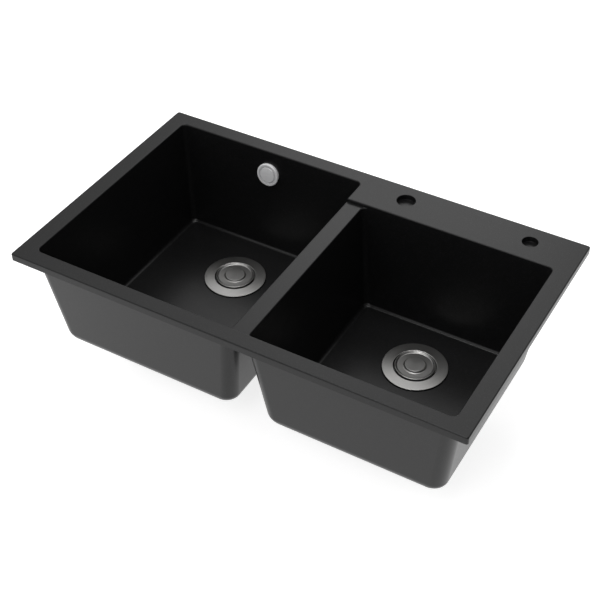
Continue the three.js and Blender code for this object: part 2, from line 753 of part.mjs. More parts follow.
// Post from the basket's floor to the lid. Under the floor it is a split socket.
function basketStem() {
  const top = -LID_SHEET - SEAT_GAP;
  const shoulder = BASKET_FLOOR_AT + SEAT_GAP;
  const socketEnd = BASKET_UNDER_AT - SOCKET_LENGTH;
  const socketRoof = SCREW_TOP_AT + CLOSING_TRAVEL + SOCKET_HEADROOM;
  const lipTop = BASKET_UNDER_AT - SEAT_GAP - PLUG_WEB - SEAT_GAP;
  const studR = KNOB_STUD_R + SEAT_GAP;
  const stem = solid(
    turned(
      [
        [0, socketRoof],
        [SOCKET_R, socketRoof],
        [SOCKET_R, socketEnd],
        [SOCKET_OUTER_R, socketEnd],
        [SOCKET_OUTER_R + SOCKET_LIP, lipTop],
        [SOCKET_OUTER_R, lipTop],
        [SOCKET_OUTER_R, shoulder],
        [STEM_SHOULDER_R, shoulder],
        [STEM_SHOULDER_R, shoulder + STEM_SHOULDER],
        [STEM_R, socketRoof + 2 * STEM_SHOULDER],
        [STEM_R, top],
        [studR, top],
        [studR, -KNOB_STUD_LENGTH - 1],
        [0, -KNOB_STUD_LENGTH - 1],
      ],
      SMALL_ROUND,
    ),
  );
  const slotTop = BASKET_UNDER_AT - 1;
  const slot = block(2 * SOCKET_OUTER_R + 4, SOCKET_SLOT, slotTop - socketEnd + THROUGH).translate(
    0,
    0,
    (slotTop + socketEnd - THROUGH) / 2,
  );
  return stem.subtract(solid(slot)).subtract(solid(slot.clone().rotateZ(HALF_TURN / 2)));
}

function basketPlug() {
  const top = BASKET_UNDER_AT - SEAT_GAP;
  const foot = -CUP_DEPTH + CLOSING_TRAVEL + SEAT_GAP;
  return ring([
    [HUB_HOLE_R, top],
    [PLUG_R - PLUG_TAPER, top],
    [PLUG_R, foot + 1],
    [PLUG_R, foot],
    [PLUG_R - PLUG_TAPER, foot],
    [PLUG_R - PLUG_LIP, top - PLUG_WEB],
    [HUB_HOLE_R, top - PLUG_WEB],
  ], MEDIUM_ROUND);
}

// Dished disc with a rolled rim that stands over the throat.
function basketLid() {
  const roll = LID_R - LID_CREST_R;
  const sheet = [
    [KNOB_STUD_R + SEAT_GAP, 0],
    [LID_DISH_R, 0],
    [LID_DISH_R + 2 * LID_DISH_STEP, LID_DISH_STEP],
    ...arc(LID_CREST_R, LID_CREST - roll, roll, 150, 0, 3),
    [LID_R, -LID_SKIRT],
  ];
  return solid(pressed(sheet, LID_SHEET, MEDIUM_ROUND));
}

// Round grip whose waist flares out into the dish, on a stud that goes through the lid into
// the stem.
function lidKnob() {
  const under = KNOB_TOP - KNOB_EDGE;
  const waist = KNOB_R - KNOB_WAIST;
  const quarter = arc(0, 0, 1, 0, 90, KNOB_FLARE_STEPS);
  const flare = quarter.map(([cosine, sine]) => [
    waist + KNOB_FLARE * (1 - sine),
    SEAT_GAP + (under - SEAT_GAP) * (1 - cosine),
  ]);
  return turned([
    [0, -KNOB_STUD_LENGTH],
    [KNOB_STUD_R, -KNOB_STUD_LENGTH],
    [KNOB_STUD_R, SEAT_GAP],
    ...flare,
    ...arc(KNOB_R - KNOB_EDGE / 2, under + KNOB_EDGE / 2, KNOB_EDGE / 2, -60, 80, 3),
    [0, KNOB_TOP],
  ], MEDIUM_ROUND);
}

// ---------------------------------------------------------------- the overflow

// Round face on a skirt that clips over the spider. Water goes in through the notches in the
// lower side of the skirt.
function overflowCover() {
  const skirtR = SPIDER_R + SEAT_GAP;
  const face = COVER_STAND + COVER_FACE;
  const cover = solid(
    turned([
      [0, COVER_STAND],
      [skirtR, COVER_STAND],
      [skirtR, SEAT_GAP],
      [skirtR + COVER_SKIRT, SEAT_GAP],
      [skirtR + COVER_SKIRT, COVER_STAND],
      [COVER_R, COVER_STAND + SEAT_GAP],
      [COVER_R, face - COVER_BEVEL_DEPTH],
      [COVER_R - COVER_BEVEL, face],
      [COVER_GROOVE_R + COVER_GROOVE_HALF, face],
      [COVER_GROOVE_R, face - COVER_GROOVE],
      [COVER_GROOVE_R - COVER_GROOVE_HALF, face + COVER_DOME / 4],
      [COVER_GROOVE_R / 2, face + 0.8 * COVER_DOME],
      [0, face + COVER_DOME],
    ], MEDIUM_ROUND),
  );
  const notch = block(COVER_NOTCH_WIDTH, 2 * COVER_R, COVER_STAND).translate(
    0,
    -COVER_R,
    COVER_STAND / 2 - THROUGH / 4,
  );
  const first = -((COVER_NOTCHES - 1) / 2) * COVER_NOTCH_PITCH_DEG;
  const inner = solid(rod(skirtR - THROUGH, -THROUGH, COVER_STAND + THROUGH));
  return steps(COVER_NOTCHES, (i) =>
    notch.clone().rotateZ(THREE.MathUtils.degToRad(first + i * COVER_NOTCH_PITCH_DEG)),
  ).reduce((whole, one) => whole.subtract(solid(one).subtract(inner)), cover);
}

// Ring in the mouth of the hole, with the hub that the screw pulls towards the elbow.
function overflowSpider() {
  const front = SEAT_GAP + SPIDER_FLANGE;
  const rim = solid(
    ring([
      [SPIDER_BORE_R, -SPIDER_COLLAR],
      [SPIDER_COLLAR_R, -SPIDER_COLLAR],
      [SPIDER_COLLAR_R, SEAT_GAP],
      [SPIDER_R, SEAT_GAP],
      [SPIDER_R, front],
      [SPIDER_BORE_R, front],
    ], MEDIUM_ROUND),
  );
  const reach = SPIDER_BORE_R + 1;
  const arm = block(reach, SPIDER_ARM, front + SPIDER_ARM_DEPTH).translate(
    reach / 2,
    0,
    (front - SPIDER_ARM_DEPTH) / 2,
  );
  const boreR = COVER_SCREW_R + SEAT_GAP;
  const bore = rod(boreR, -SPIDER_HUB_DEPTH - THROUGH, front + THROUGH, TINY_ROUND);
  return roundAbout(SPIDER_ARMS, arm, 90)
    .reduce((whole, one) => whole.add(solid(one)), rim)
    .add(solid(rod(SPIDER_HUB_R, -SPIDER_HUB_DEPTH, front, SMALL_ROUND)))
    .subtract(solid(bore));
}

function overflowScrew() {
  const seat = 2 * SEAT_GAP + SPIDER_FLANGE;
  return turned(
    [
      [0, seat - COVER_SCREW_LENGTH],
      [COVER_SCREW_R, seat - COVER_SCREW_LENGTH],
      [COVER_SCREW_R, seat],
      [COVER_SCREW_HEAD_R, seat],
      [COVER_SCREW_HEAD_R - 0.5, seat + COVER_SCREW_HEAD / 2],
      [COVER_SCREW_HEAD_R / 2, seat + COVER_SCREW_HEAD],
      [0, seat + COVER_SCREW_HEAD],
    ],
    TINY_ROUND,
  );
}

function overflowSeal() {
  const outer = ELBOW_R - 0.5;
  const low = ELBOW_SEAL_AT - ELBOW_SEAL;
  return tube(outer - ELBOW_SEAL_WIDTH, outer, low, ELBOW_SEAL_AT, MEDIUM_ROUND);
}

// Outline of the elbow's chamber: round at the hole, narrowing down to the spigot.
function chamberOutline(by) {
  const radius = ELBOW_R - ELBOW_FLANGE - by;
  return [
    ...arc(0, 0, radius, -20, 200, 10),
    [-ELBOW_NECK_HALF + by, -ELBOW_NECK + by],
    [ELBOW_NECK_HALF - by, -ELBOW_NECK + by],
  ];
}

function overflowElbow() {
  const back = ELBOW_AT - ELBOW_CHAMBER;
  const spigot = (radius, from, to) =>
    rod(radius, from, to, SMALL_ROUND).rotateX(HALF_TURN / 2).translate(0, 0, SPIGOT_AT);
  const flange = tube(ELBOW_R - ELBOW_SEAL_WIDTH, ELBOW_R, ELBOW_AT - ELBOW_WALL, ELBOW_AT);
  const chamber = extruded(chamberOutline(0), ELBOW_CHAMBER).translate(0, 0, back);
  const hollow = extruded(chamberOutline(ELBOW_WALL), ELBOW_CHAMBER - 2 * ELBOW_WALL).translate(
    0,
    0,
    back + ELBOW_WALL,
  );
  const mouthFrom = ELBOW_AT - ELBOW_WALL - 1;
  const mouth = rod(OVERFLOW_HOLE_R, mouthFrom, ELBOW_AT + THROUGH, SMALL_ROUND);
  const screwEnd = 2 * SEAT_GAP + SPIDER_FLANGE - COVER_SCREW_LENGTH;
  return solid(chamber)
    .add(solid(flange))
    .add(solid(spigot(PIPE_R, ELBOW_NECK - ELBOW_WALL, SPIGOT_END)))
    .subtract(solid(hollow))
    .subtract(solid(mouth))
    .subtract(solid(spigot(PIPE_R - PIPE_WALL, ELBOW_NECK - ELBOW_WALL * 2, SPIGOT_END + THROUGH)))
    .add(solid(rod(ELBOW_POST_R, back + 1, ELBOW_AT - 1, SMALL_ROUND)))
    .subtract(solid(rod(COVER_SCREW_R + SEAT_GAP, screwEnd - 1, ELBOW_AT + THROUGH, TINY_ROUND)));
}

// ---------------------------------------------------------------- the overflow hose

// The hose lies in the plane X = 0 of the left waste. Its line runs down from the spigot
// along the sink's outer wall, bends forward and meets the branch of the waste level. The
// bend has the radius that leaves a straight cuff in front of the branch.
function hoseLine() {
  const down = [-Math.sin(DRAFT), -Math.cos(DRAFT)];
  const start = [
    OVERFLOW_Y + (SPIGOT_END + SEAT_GAP) * down[0] - SPIGOT_AT * Math.cos(DRAFT),
    OVERFLOW_Z + (SPIGOT_END + SEAT_GAP) * down[1] + SPIGOT_AT * Math.sin(DRAFT),
  ];
  const level = CROWN - BRANCH_DEPTH;
  const centreY = LEFT_DRAIN.y + BRANCH_REACH + SEAT_GAP + HOSE_CUFF;
  const overrun = start[0] - LEAN * (start[1] - level) - centreY;
  const bendR = overrun / (Math.cos(DRAFT) - LEAN + LEAN * Math.sin(DRAFT));
  const run = (start[1] - level - bendR * (1 - Math.sin(DRAFT))) / Math.cos(DRAFT);
  return { start, down, run, bendR, centreY, level };
}

// Point and direction at a distance along the hose.
function hoseAt(distance) {
  const { start, down, run, bendR, centreY, level } = hoseLine();
  const round = bendR * HOSE_BEND;
  if (distance < run) {
    return { at: [start[0] + distance * down[0], start[1] + distance * down[1]], way: down };
  }
  if (distance > run + round) {
    return { at: [centreY - (distance - run - round), level], way: [-1, 0] };
  }
  const angle = -DRAFT - (distance - run) / bendR;
  return {
    at: [centreY + bendR * Math.cos(angle), level + bendR * (1 + Math.sin(angle))],
    way: [Math.sin(angle), -Math.cos(angle)],
  };
}

const HOSE_BEND = HALF_TURN / 2 - DRAFT; // turn from beside the wall to level
const HOSE_LENGTH = hoseLine().run + hoseLine().bendR * HOSE_BEND + HOSE_CUFF;

// Rings round the line, from one end of the outside to the other and back through the bore.
function overflowHose() {
  const ribs = Math.floor((HOSE_LENGTH - 2 * HOSE_CUFF) / HOSE_PITCH);
  const pitch = (HOSE_LENGTH - 2 * HOSE_CUFF) / ribs;
  const outside = [[0, PIPE_R], [HOSE_CUFF, PIPE_R]];
  for (let i = 0; i < ribs; i += 1) {
    const from = HOSE_CUFF + i * pitch;
    outside.push([from + pitch * 0.5, HOSE_CREST_R]);
    if (i + 1 < ribs) outside.push([from + pitch, HOSE_ROOT_R]);
  }
  outside.push([HOSE_LENGTH - HOSE_CUFF, PIPE_R], [HOSE_LENGTH, PIPE_R]);
  const boreSteps = Math.ceil(ribs / HOSE_RIBS_PER_BORE_RING) + 1;
  const bore = steps(boreSteps + 1, (i) => [HOSE_LENGTH * (1 - i / boreSteps), HOSE_BORE_R]);
  const rings = [...outside, ...bore];
  const positions = rings.flatMap(([distance, radius]) => {
    const { at, way } = hoseAt(distance);
    return steps(HOSE_SIDES, (i) => {
      const angle = (FULL_TURN * (i + 0.5)) / HOSE_SIDES;
      const across = radius * Math.cos(angle);
      const off = radius * Math.sin(angle);
      return [across, at[0] - off * way[1], at[1] + off * way[0]];
    }).flat();
  });
  const index = [];
  rings.forEach((_, r) => {
    for (let i = 0; i < HOSE_SIDES; i += 1) {
      const a = r * HOSE_SIDES + i;
      const b = r * HOSE_SIDES + ((i + 1) % HOSE_SIDES);
      const next = ((r + 1) % rings.length) * HOSE_SIDES;
      const c = next + ((i + 1) % HOSE_SIDES);
      const d = next + i;
      index.push(a, b, c, a, c, d);
    }
  });
  const geometry = new THREE.BufferGeometry();
  geometry.setAttribute("position", new THREE.Float32BufferAttribute(positions, 3));
  geometry.setIndex(index);
  return solid(geometry);
}

// Sleeve nut with grip ribs, over the end of a pipe and the cuff of the hose.
function hoseNut() {
  const bore = PIPE_R + SEAT_GAP;
  const sleeve = solid(tube(bore, NUT_R - NUT_RIB, -NUT_LENGTH / 2, NUT_LENGTH / 2, SMALL_ROUND));
  const rib = block(NUT_RIB * 2, NUT_RIB_WIDTH, NUT_LENGTH - THROUGH).translate(NUT_R - NUT_RIB, 0, 0);
  return roundAbout(NUT_RIBS, rib).reduce((whole, one) => whole.add(solid(one)), sleeve);
}

// ---------------------------------------------------------------- assembly

function piece(parent, name, shape, finish) {
  const geometry = shape.isBufferGeometry ? closed(shape).toNonIndexed() : geometryOf(shape);
  geometry.computeVertexNormals();
  const mesh = new THREE.Mesh(geometry, finish);
  mesh.name = name;
  parent.add(mesh);
  return mesh;
}

function waste(side, drain, branched) {
  const group = new THREE.Group();
  group.position.set(drain.x, drain.y, CROWN);
  piece(group, "strainer_bowl_" + side, strainerBowl(), brushedSteel);
  piece(group, "flange_seal_" + side, flangeSeal(), whiteRubber);
  piece(group, "body_gasket_" + side, bodyGasket(), blackRubber);
  piece(group, "waste_body_" + side, wasteBody(branched), blackPlastic);
  piece(group, "centre_screw_" + side, centreScrew(), zincPlate);
  piece(group, "basket_" + side, basket(), polishedSteel);
  piece(group, "basket_stem_" + side, basketStem(), polishedSteel);
  piece(group, "basket_plug_" + side, basketPlug(), blackRubber);
  piece(group, "basket_lid_" + side, basketLid(), brushedSteel);
  piece(group, "lid_knob_" + side, lidKnob(), brushedSteel);
  return group;
}

function overflow() {
  const group = new THREE.Group();
  group.position.set(middle(LEFT_BOWL), OVERFLOW_Y, OVERFLOW_Z);
  group.rotation.x = HALF_TURN / 2 - DRAFT;
  piece(group, "overflow_cover", overflowCover(), polishedSteel);
  piece(group, "overflow_spider", overflowSpider(), blackPlastic);
  piece(group, "overflow_screw", overflowScrew(), zincPlate);
  piece(group, "overflow_seal", overflowSeal(), blackRubber);
  piece(group, "overflow_elbow", overflowElbow(), blackPlastic);
  return group;
}

function hose() {
  const group = new THREE.Group();
  group.position.set(LEFT_DRAIN.x, 0, 0);
  piece(group, "overflow_hose", overflowHose(), blackPlastic);
  const upper = piece(group, "hose_nut_upper", hoseNut(), blackPlastic);
  const top = hoseAt(0);
  upper.position.set(0, top.at[0], top.at[1]);
  upper.rotation.x = -DRAFT;
  const lower = piece(group, "hose_nut_lower", hoseNut(), blackPlastic);
  const end = hoseAt(HOSE_LENGTH);
  lower.position.set(0, end.at[0], end.at[1]);
  lower.rotation.x = HALF_TURN / 2;
  return group;
}

const sink = new THREE.Group();
piece(sink, "sink_body", sinkBody(), composite);
sink.add(waste("left", LEFT_DRAIN, true));
sink.add(waste("right", RIGHT_DRAIN, false));
sink.add(overflow());
sink.add(hose());

export default sink;
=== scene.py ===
"""Looks of a double bowl kitchen sink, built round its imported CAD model.

The row frame is in metres. +Z is up, +Y is towards the wall behind the sink and the origin
is the centre of the worktop cut-out, under the rim.
"""

import math

import bmesh
import bpy
from mathutils import Euler, Matrix, Vector


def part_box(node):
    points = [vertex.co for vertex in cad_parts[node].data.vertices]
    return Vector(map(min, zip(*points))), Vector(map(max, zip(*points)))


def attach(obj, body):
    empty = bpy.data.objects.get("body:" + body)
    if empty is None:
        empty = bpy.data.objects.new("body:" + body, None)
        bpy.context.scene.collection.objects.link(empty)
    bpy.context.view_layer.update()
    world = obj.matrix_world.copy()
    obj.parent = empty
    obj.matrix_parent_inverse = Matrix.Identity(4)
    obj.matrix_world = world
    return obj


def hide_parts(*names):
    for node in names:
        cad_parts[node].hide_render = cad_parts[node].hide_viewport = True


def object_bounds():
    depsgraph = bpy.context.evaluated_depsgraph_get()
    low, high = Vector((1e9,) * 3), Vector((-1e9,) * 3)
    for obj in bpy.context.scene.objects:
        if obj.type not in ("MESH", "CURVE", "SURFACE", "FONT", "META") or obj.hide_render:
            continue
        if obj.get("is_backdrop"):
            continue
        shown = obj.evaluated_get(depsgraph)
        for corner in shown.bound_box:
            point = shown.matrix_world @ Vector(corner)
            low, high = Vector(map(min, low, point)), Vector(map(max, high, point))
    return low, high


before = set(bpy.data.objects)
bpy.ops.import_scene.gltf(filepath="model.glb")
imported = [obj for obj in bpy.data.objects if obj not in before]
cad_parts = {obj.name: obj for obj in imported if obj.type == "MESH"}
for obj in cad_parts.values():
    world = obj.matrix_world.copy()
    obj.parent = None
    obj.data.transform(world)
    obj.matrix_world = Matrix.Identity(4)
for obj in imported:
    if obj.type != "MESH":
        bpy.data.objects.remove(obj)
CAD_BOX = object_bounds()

bl_info = {
    "name": "Double bowl kitchen sink",
    "version": (1, 0, 0),
    "blender": (4, 5, 0),
    "location": "3D View > Sidebar > Sink",
    "description": "Fine pieces, finishes and a studio stage for a double bowl kitchen sink",
    "category": "Object",
}

# --- sizes

MM = 0.001

RIM_CORNER_R = 4 * MM
RIM_ARRIS = 2 * MM
RIM_LOWER_CHAMFER = 1 * MM
WALL = 9 * MM
FLOOR_THICKNESS = 9 * MM
BOWL_CORNER_R = 10 * MM
FLOOR_FILLET_R = 7 * MM
OUTER_CORNER_R = 23 * MM
OUTER_FILLET_R = 30 * MM
DRAIN_RECESS = 2 * MM
RECESS_CLEARANCE = 1 * MM
TAP_HOLE_D = 33 * MM
TAP_HOLE_FROM_RIGHT = 320 * MM
SIDE_HOLE_D = 27 * MM
SIDE_HOLE_FROM_RIGHT = 91.5 * MM
HOLES_FROM_BACK = 38.5 * MM
KNOCKOUT_DEPTH = 10 * MM
KNOCKOUT_ROUNDING = 0.8 * MM

SEAT_GAP = 0.3 * MM
FLANGE_R = 57 * MM
FLANGE_PROUD = 3.8 * MM
FLANGE_FALL = 1.2 * MM
FLANGE_CREASE_R = 44.5 * MM
FLANGE_CREASE_FALL = 0.5 * MM
STEEL = 1.5 * MM
THROAT_R = 36.8 * MM
THROAT_ROLL_R = 1.6 * MM
THROAT_STRAIGHT = 17 * MM
CUP_DEPTH = 41 * MM
CUP_BOTTOM_R = 29 * MM
CUP_FLOOR_FILLET_R = 7 * MM
CUP_WINDOWS = 6
CUP_WINDOW_IN_R = 10 * MM
CUP_WINDOW_OUT_R = 19 * MM
CUP_BAR = 5 * MM
FLOOR_HOLE_CLEARANCE = 5.5 * MM
FLANGE_SEAL_WIDTH = 8 * MM
FLANGE_SEAL_INSET = 3 * MM
# Upright thickness of the sloping flange.
SLOPED_SHEET = 1.01 * STEEL

CLOSING_TRAVEL = 5 * MM
LID_R = 35.2 * MM
LID_CREST = 2.1 * MM
LID_CREST_R = 33.85 * MM
LID_DISH_R = 30 * MM
LID_SKIRT = 2.5 * MM
LID_SHEET = 1.2 * MM
LID_SLOPE_STEPS = 6
LID_CREST_START_DEG = 125
LID_CREST_STEPS = 10
KNOB_R = 18 * MM
KNOB_TOP = 3.9 * MM
KNOB_EDGE = 0.9 * MM
KNOB_FOOT = 2.6 * MM
KNOB_FOOT_STEPS = 7
KNOB_EDGE_STEPS = 6
KNOB_STUD_R = 3 * MM
KNOB_STUD_LENGTH = 9 * MM

BASKET_SHEET = 1 * MM
BASKET_RIM_R = 36.5 * MM
BASKET_RIM_DROP = 10.5 * MM
BASKET_WALL_R = 33.4 * MM
BASKET_FOOT_R = 25.5 * MM
BASKET_DEPTH = 18.5 * MM
BASKET_FOOT_FILLET = 3 * MM
BASKET_ROLL = 1 * MM
BASKET_WALL_LEAN_DEG = -20
BASKET_ROLL_STEPS = 4
BASKET_FOOT_STEPS = 5
BASKET_SLOTS = 14
BASKET_SLOT_WIDTH = 2.4 * MM
BASKET_SLOT_MARGIN = 2 * MM
BASKET_SLOT_CUT = 6 * MM
FLOOR_SLOTS = 12
FLOOR_SLOT_IN_R = 12.5 * MM
FLOOR_SLOT_LENGTH = 11 * MM
STEM_R = 5 * MM
STEM_SHOULDER_R = 10.5 * MM
STEM_SHOULDER = 2 * MM
SOCKET_WALL = 1.3 * MM
SOCKET_LENGTH = 5.5 * MM
SOCKET_HEADROOM = 1.5 * MM
SOCKET_SLOT = 1.5 * MM
SOCKET_LIP = 0.8 * MM
PLUG_R = 23 * MM
PLUG_WEB = 3.2 * MM
PLUG_TAPER = 3 * MM
PLUG_LIP = 5 * MM

SCREW_HEAD_R = 6 * MM
SCREW_HEAD = 8.2 * MM
SCREW_R = 2.8 * MM
SCREW_LENGTH = 13 * MM
SCREW_CHAMFER = 1 * MM
SCREW_SLOT = 1.6 * MM
SCREW_SLOT_DEPTH = 2 * MM
SCREW_THREAD = 0.25 * MM
SCREW_PITCH = 1 * MM

GASKET_THICKNESS = 3 * MM
GASKET_WIDTH = 10 * MM
GASKET_INSET = 1 * MM
BODY_FLANGE_R = 57 * MM
BODY_FLANGE = 3.5 * MM
BODY_R = 47 * MM
BODY_WALL = 3 * MM
BODY_STRAIGHT_TO = 46 * MM
BODY_FUNNEL = 18 * MM
OUTLET_R = 23.9 * MM
OUTLET_WALL = 3.9 * MM
OUTLET_LENGTH = 27 * MM
OUTLET_THREAD = 1.1 * MM
OUTLET_PITCH = 3.2 * MM
OUTLET_PLAIN = 2 * MM
BODY_RIBS = 8
BODY_RIB = 2 * MM
BODY_RIB_DROP = 9 * MM
BODY_RIB_SETBACK = 1.5 * MM
BOSS_R = 6.5 * MM
BOSS_LENGTH = 16 * MM
BOSS_ARMS = 3
BOSS_ARM = 3 * MM
BOSS_ARM_TOP = 2.5 * MM
BOSS_ARM_HEIGHT = 10 * MM

OVERFLOW_DOWN = 45 * MM
OVERFLOW_HOLE_R = 16 * MM
COVER_R = 22.1 * MM
COVER_STAND = 4.4 * MM
COVER_FACE = 1.9 * MM
COVER_BEVEL = 2 * MM
COVER_BEVEL_START_DEG = 25
COVER_BEVEL_STEPS = 6
COVER_DOME = 0.9 * MM
COVER_GROOVE_R = 15.8 * MM
COVER_GROOVE = 0.7 * MM
COVER_GROOVE_HALF = 1.5 * MM
COVER_SKIRT = 1.2 * MM
COVER_NOTCHES = 3
COVER_NOTCH_WIDTH = 15 * MM
COVER_NOTCH_PITCH_DEG = 60
SPIDER_R = 20 * MM
SPIDER_FLANGE = 1.5 * MM
SPIDER_COLLAR_R = 15.4 * MM
SPIDER_BORE_R = 13 * MM
SPIDER_COLLAR = 5 * MM
SPIDER_ARMS = 3
SPIDER_ARM = 3 * MM
SPIDER_HUB_R = 4.8 * MM
SPIDER_HUB_DEPTH = 3 * MM
SPIDER_ARM_DEPTH = 2 * MM
COVER_SCREW_R = 1.9 * MM
COVER_SCREW_HEAD_R = 4 * MM
COVER_SCREW_HEAD = 2 * MM
COVER_SCREW_LENGTH = 24 * MM
COVER_SCREW_SLOT = 1 * MM
ELBOW_SEAL = 3 * MM
ELBOW_SEAL_WIDTH = 6 * MM
ELBOW_SEAL_INSET = 0.5 * MM
ELBOW_R = 24 * MM
ELBOW_NECK = 34 * MM
ELBOW_NECK_HALF = 11.5 * MM
ELBOW_CORNER_R = 3 * MM
ELBOW_ROUND_DEG = (-20, 200)
ELBOW_ROUND_STEPS = 40
ELBOW_CHAMBER = 19.5 * MM
ELBOW_WALL = 2.2 * MM
ELBOW_FLANGE = 1.5 * MM
ELBOW_POST_R = 4.8 * MM
SPIGOT_LENGTH = 24 * MM
SPIGOT_OFF_WALL = 13.6 * MM
PIPE_R = 9.5 * MM
PIPE_WALL = 2 * MM

HOSE_CREST_R = 10.8 * MM
HOSE_ROOT_R = 9.3 * MM
HOSE_BORE_R = 7.8 * MM
HOSE_PITCH = 4 * MM
HOSE_CUFF = 22 * MM
NUT_R = 12.3 * MM
NUT_LENGTH = 20 * MM
NUT_OFF_BODY = 1.3 * MM
NUT_RIBS = 8
NUT_RIB = 0.7 * MM
NUT_RIB_WIDTH = 2.2 * MM
BRANCH_DEPTH = 34 * MM
BRANCH_REACH = BODY_R + NUT_OFF_BODY + NUT_LENGTH / 2

# Heights in a waste, from the crown of its flange.
RECESS_AT = -FLANGE_PROUD - DRAIN_RECESS
GASKET_AT = -FLANGE_PROUD - FLOOR_THICKNESS - SEAT_GAP
BODY_AT = GASKET_AT - GASKET_THICKNESS - SEAT_GAP
CUP_UNDER_AT = -CUP_DEPTH - STEEL
BASKET_FLOOR_AT = -BASKET_RIM_DROP - BASKET_DEPTH
BASKET_UNDER_AT = BASKET_FLOOR_AT - BASKET_SHEET
SCREW_HEAD_AT = -CUP_DEPTH + SEAT_GAP
SCREW_TOP_AT = SCREW_HEAD_AT + SCREW_HEAD
SCREW_END_AT = SCREW_HEAD_AT - SCREW_LENGTH
SCREW_HOLE_R = SCREW_R + SEAT_GAP
FLOOR_HOLE_R = THROAT_R + STEEL + FLOOR_HOLE_CLEARANCE
SOCKET_R = SCREW_HEAD_R + SEAT_GAP
SOCKET_OUTER_R = SOCKET_R + SOCKET_WALL
HUB_HOLE_R = SOCKET_OUTER_R + SEAT_GAP

# Facets.
CORNER_STEPS = 12
ARRIS_STEPS = 4
FILLET_STEPS = 8
ROUND = 96
SMALL_ROUND = 48
HOSE_SIDES = 24
HOSE_RINGS_PER_RIB = 4
EDGE_R = 0.3 * MM
THROUGH = 2 * MM
ON_AXIS = EDGE_R / 10
SIDES = ("left", "right")
# Corners flatter than this stay as they are, and a rounding takes this share of a side.
STRAIGHT_DEG = 20
SOFT_SHARE = 0.4
# A pressed sheet's corner reaches out to 1 / MITRE_LIMIT of its thickness at most.
MITRE_LIMIT = 0.5
# Where a thread's ridge has its crest and its end, as shares of the pitch.
THREAD_CREST = 0.35
THREAD_END = 0.7
# Edges sharper than these stay sharp in the shading.
CREASE_DEG = 32
MOULDING_CREASE_DEG = 28
HOSE_CREASE_DEG = 60

# Profiles, as shares of a radius or half width and of a depth or height.
GROOVE_PROFILE = ((1, 0), (0.7, 0.3), (0.2, 1), (-0.2, 1), (-0.7, 0.2))
FACE_PROFILE = ((0.7, 0.6), (0.4, 0.88), (0, 1))
SCREW_DOME_PROFILE = ((1, 0), (0.95, 0.45), (0.75, 0.8), (0.4, 0.97), (0, 1))

COMPOSITE_IOR = 1.345
ZINC = (0.56, 0.57, 0.6)

# --- outlines and profiles


def arc(x, y, radius, start, end, count):
    """Points on an arc between two angles in degrees."""
    angles = [math.radians(start + (end - start) * i / count) for i in range(count + 1)]
    return [(x + radius * math.cos(a), y + radius * math.sin(a)) for a in angles]


def rounded_rectangle(edges, radius):
    left, right, front, back = inset(edges, radius)
    outline = []
    for i, (x, y) in enumerate(((right, back), (left, back), (left, front), (right, front))):
        outline += arc(x, y, radius, 90 * i, 90 * i + 90, CORNER_STEPS)
    return outline


def inset(edges, by):
    left, right, front, back = edges
    return (left + by, right - by, front + by, back - by)


def stadium(length, width):
    """Outline of a slot with round ends, long in its first direction."""
    reach, radius = (length - width) / 2, width / 2
    right = arc(reach, 0, radius, -90, 90, FILLET_STEPS)
    return right + arc(-reach, 0, radius, 90, 270, FILLET_STEPS)


def softened(points, radius=EDGE_R, steps=2):
    """The closed profile with its corners rounded, apart from those on the axis."""
    count = len(points)
    rounded = []
    for i, point in enumerate(points):
        corner = Vector(point)
        before = Vector(points[i - 1]) - corner
        after = Vector(points[(i + 1) % count]) - corner
        if corner.x < ON_AXIS or before.angle(-after, 0) < math.radians(STRAIGHT_DEG):
            rounded.append(point)
            continue
        reach = min(radius, SOFT_SHARE * before.length, SOFT_SHARE * after.length)
        start = corner + before.normalized() * reach
        end = corner + after.normalized() * reach
        for step in range(steps + 1):
            share = step / steps
            near = start.lerp(corner, share)
            rounded.append(tuple(near.lerp(corner.lerp(end, share), share)))
    return rounded


def pressed(points, thickness):
    """Profile of a pressed sheet. Its other face lies to the right of the line of points."""
    line = [Vector(point) for point in points]
    ways = [(b - a).normalized() for a, b in zip(line, line[1:])]
    other = []
    for i, point in enumerate(line):
        before = ways[max(i - 1, 0)]
        after = ways[min(i, len(ways) - 1)]
        side = Vector((before.y + after.y, -before.x - after.x)).normalized()
        reach = thickness / max(side.dot(Vector((before.y, -before.x))), MITRE_LIMIT)
        other.append(tuple(point + side * reach))
    return list(points) + other[::-1]


# --- solids


class Shape:
    """A closed mesh in the making: + joins, - cuts away and & keeps what both fill."""

    def __init__(self, bm):
        self.mesh = bpy.data.meshes.new("shape")
        bmesh.ops.recalc_face_normals(bm, faces=bm.faces)
        bm.to_mesh(self.mesh)
        bm.free()

    def combined(self, operation, other):
        parts = [bpy.data.objects.new("part", shape.mesh) for shape in (self, other)]
        for part in parts:
            bpy.context.scene.collection.objects.link(part)
        modifier = parts[0].modifiers.new("combine", "BOOLEAN")
        modifier.operation = operation
        modifier.solver = "MANIFOLD"
        modifier.object = parts[1]
        self.mesh = evaluated(parts[0])
        for part in parts:
            bpy.data.objects.remove(part)
        return self

    def __add__(self, other):
        return self.combined("UNION", other)

    def __sub__(self, other):
        return self.combined("DIFFERENCE", other)

    def __and__(self, other):
        return self.combined("INTERSECT", other)

    def moved(self, *way):
        self.mesh.transform(Matrix.Translation(way))
        return self

    def turned_about(self, axis, degrees):
        self.mesh.transform(Matrix.Rotation(math.radians(degrees), 4, axis))
        return self

    def copies(self, count, start=0, whole=360):
        """Copies turned about Z, spread over the whole angle."""
        for i in range(count):
            yield merged(self).turned_about("Z", start + whole * i / count)

    def repeated(self, count, start=0):
        """Copies about Z that don't touch each other, as one shape."""
        return merged(*self.copies(count, start))


def merged(*shapes):
    """Shapes laid into one mesh, without a boolean between them."""
    bm = bmesh.new()
    for shape in shapes:
        bm.from_mesh(shape.mesh)
    return Shape(bm)


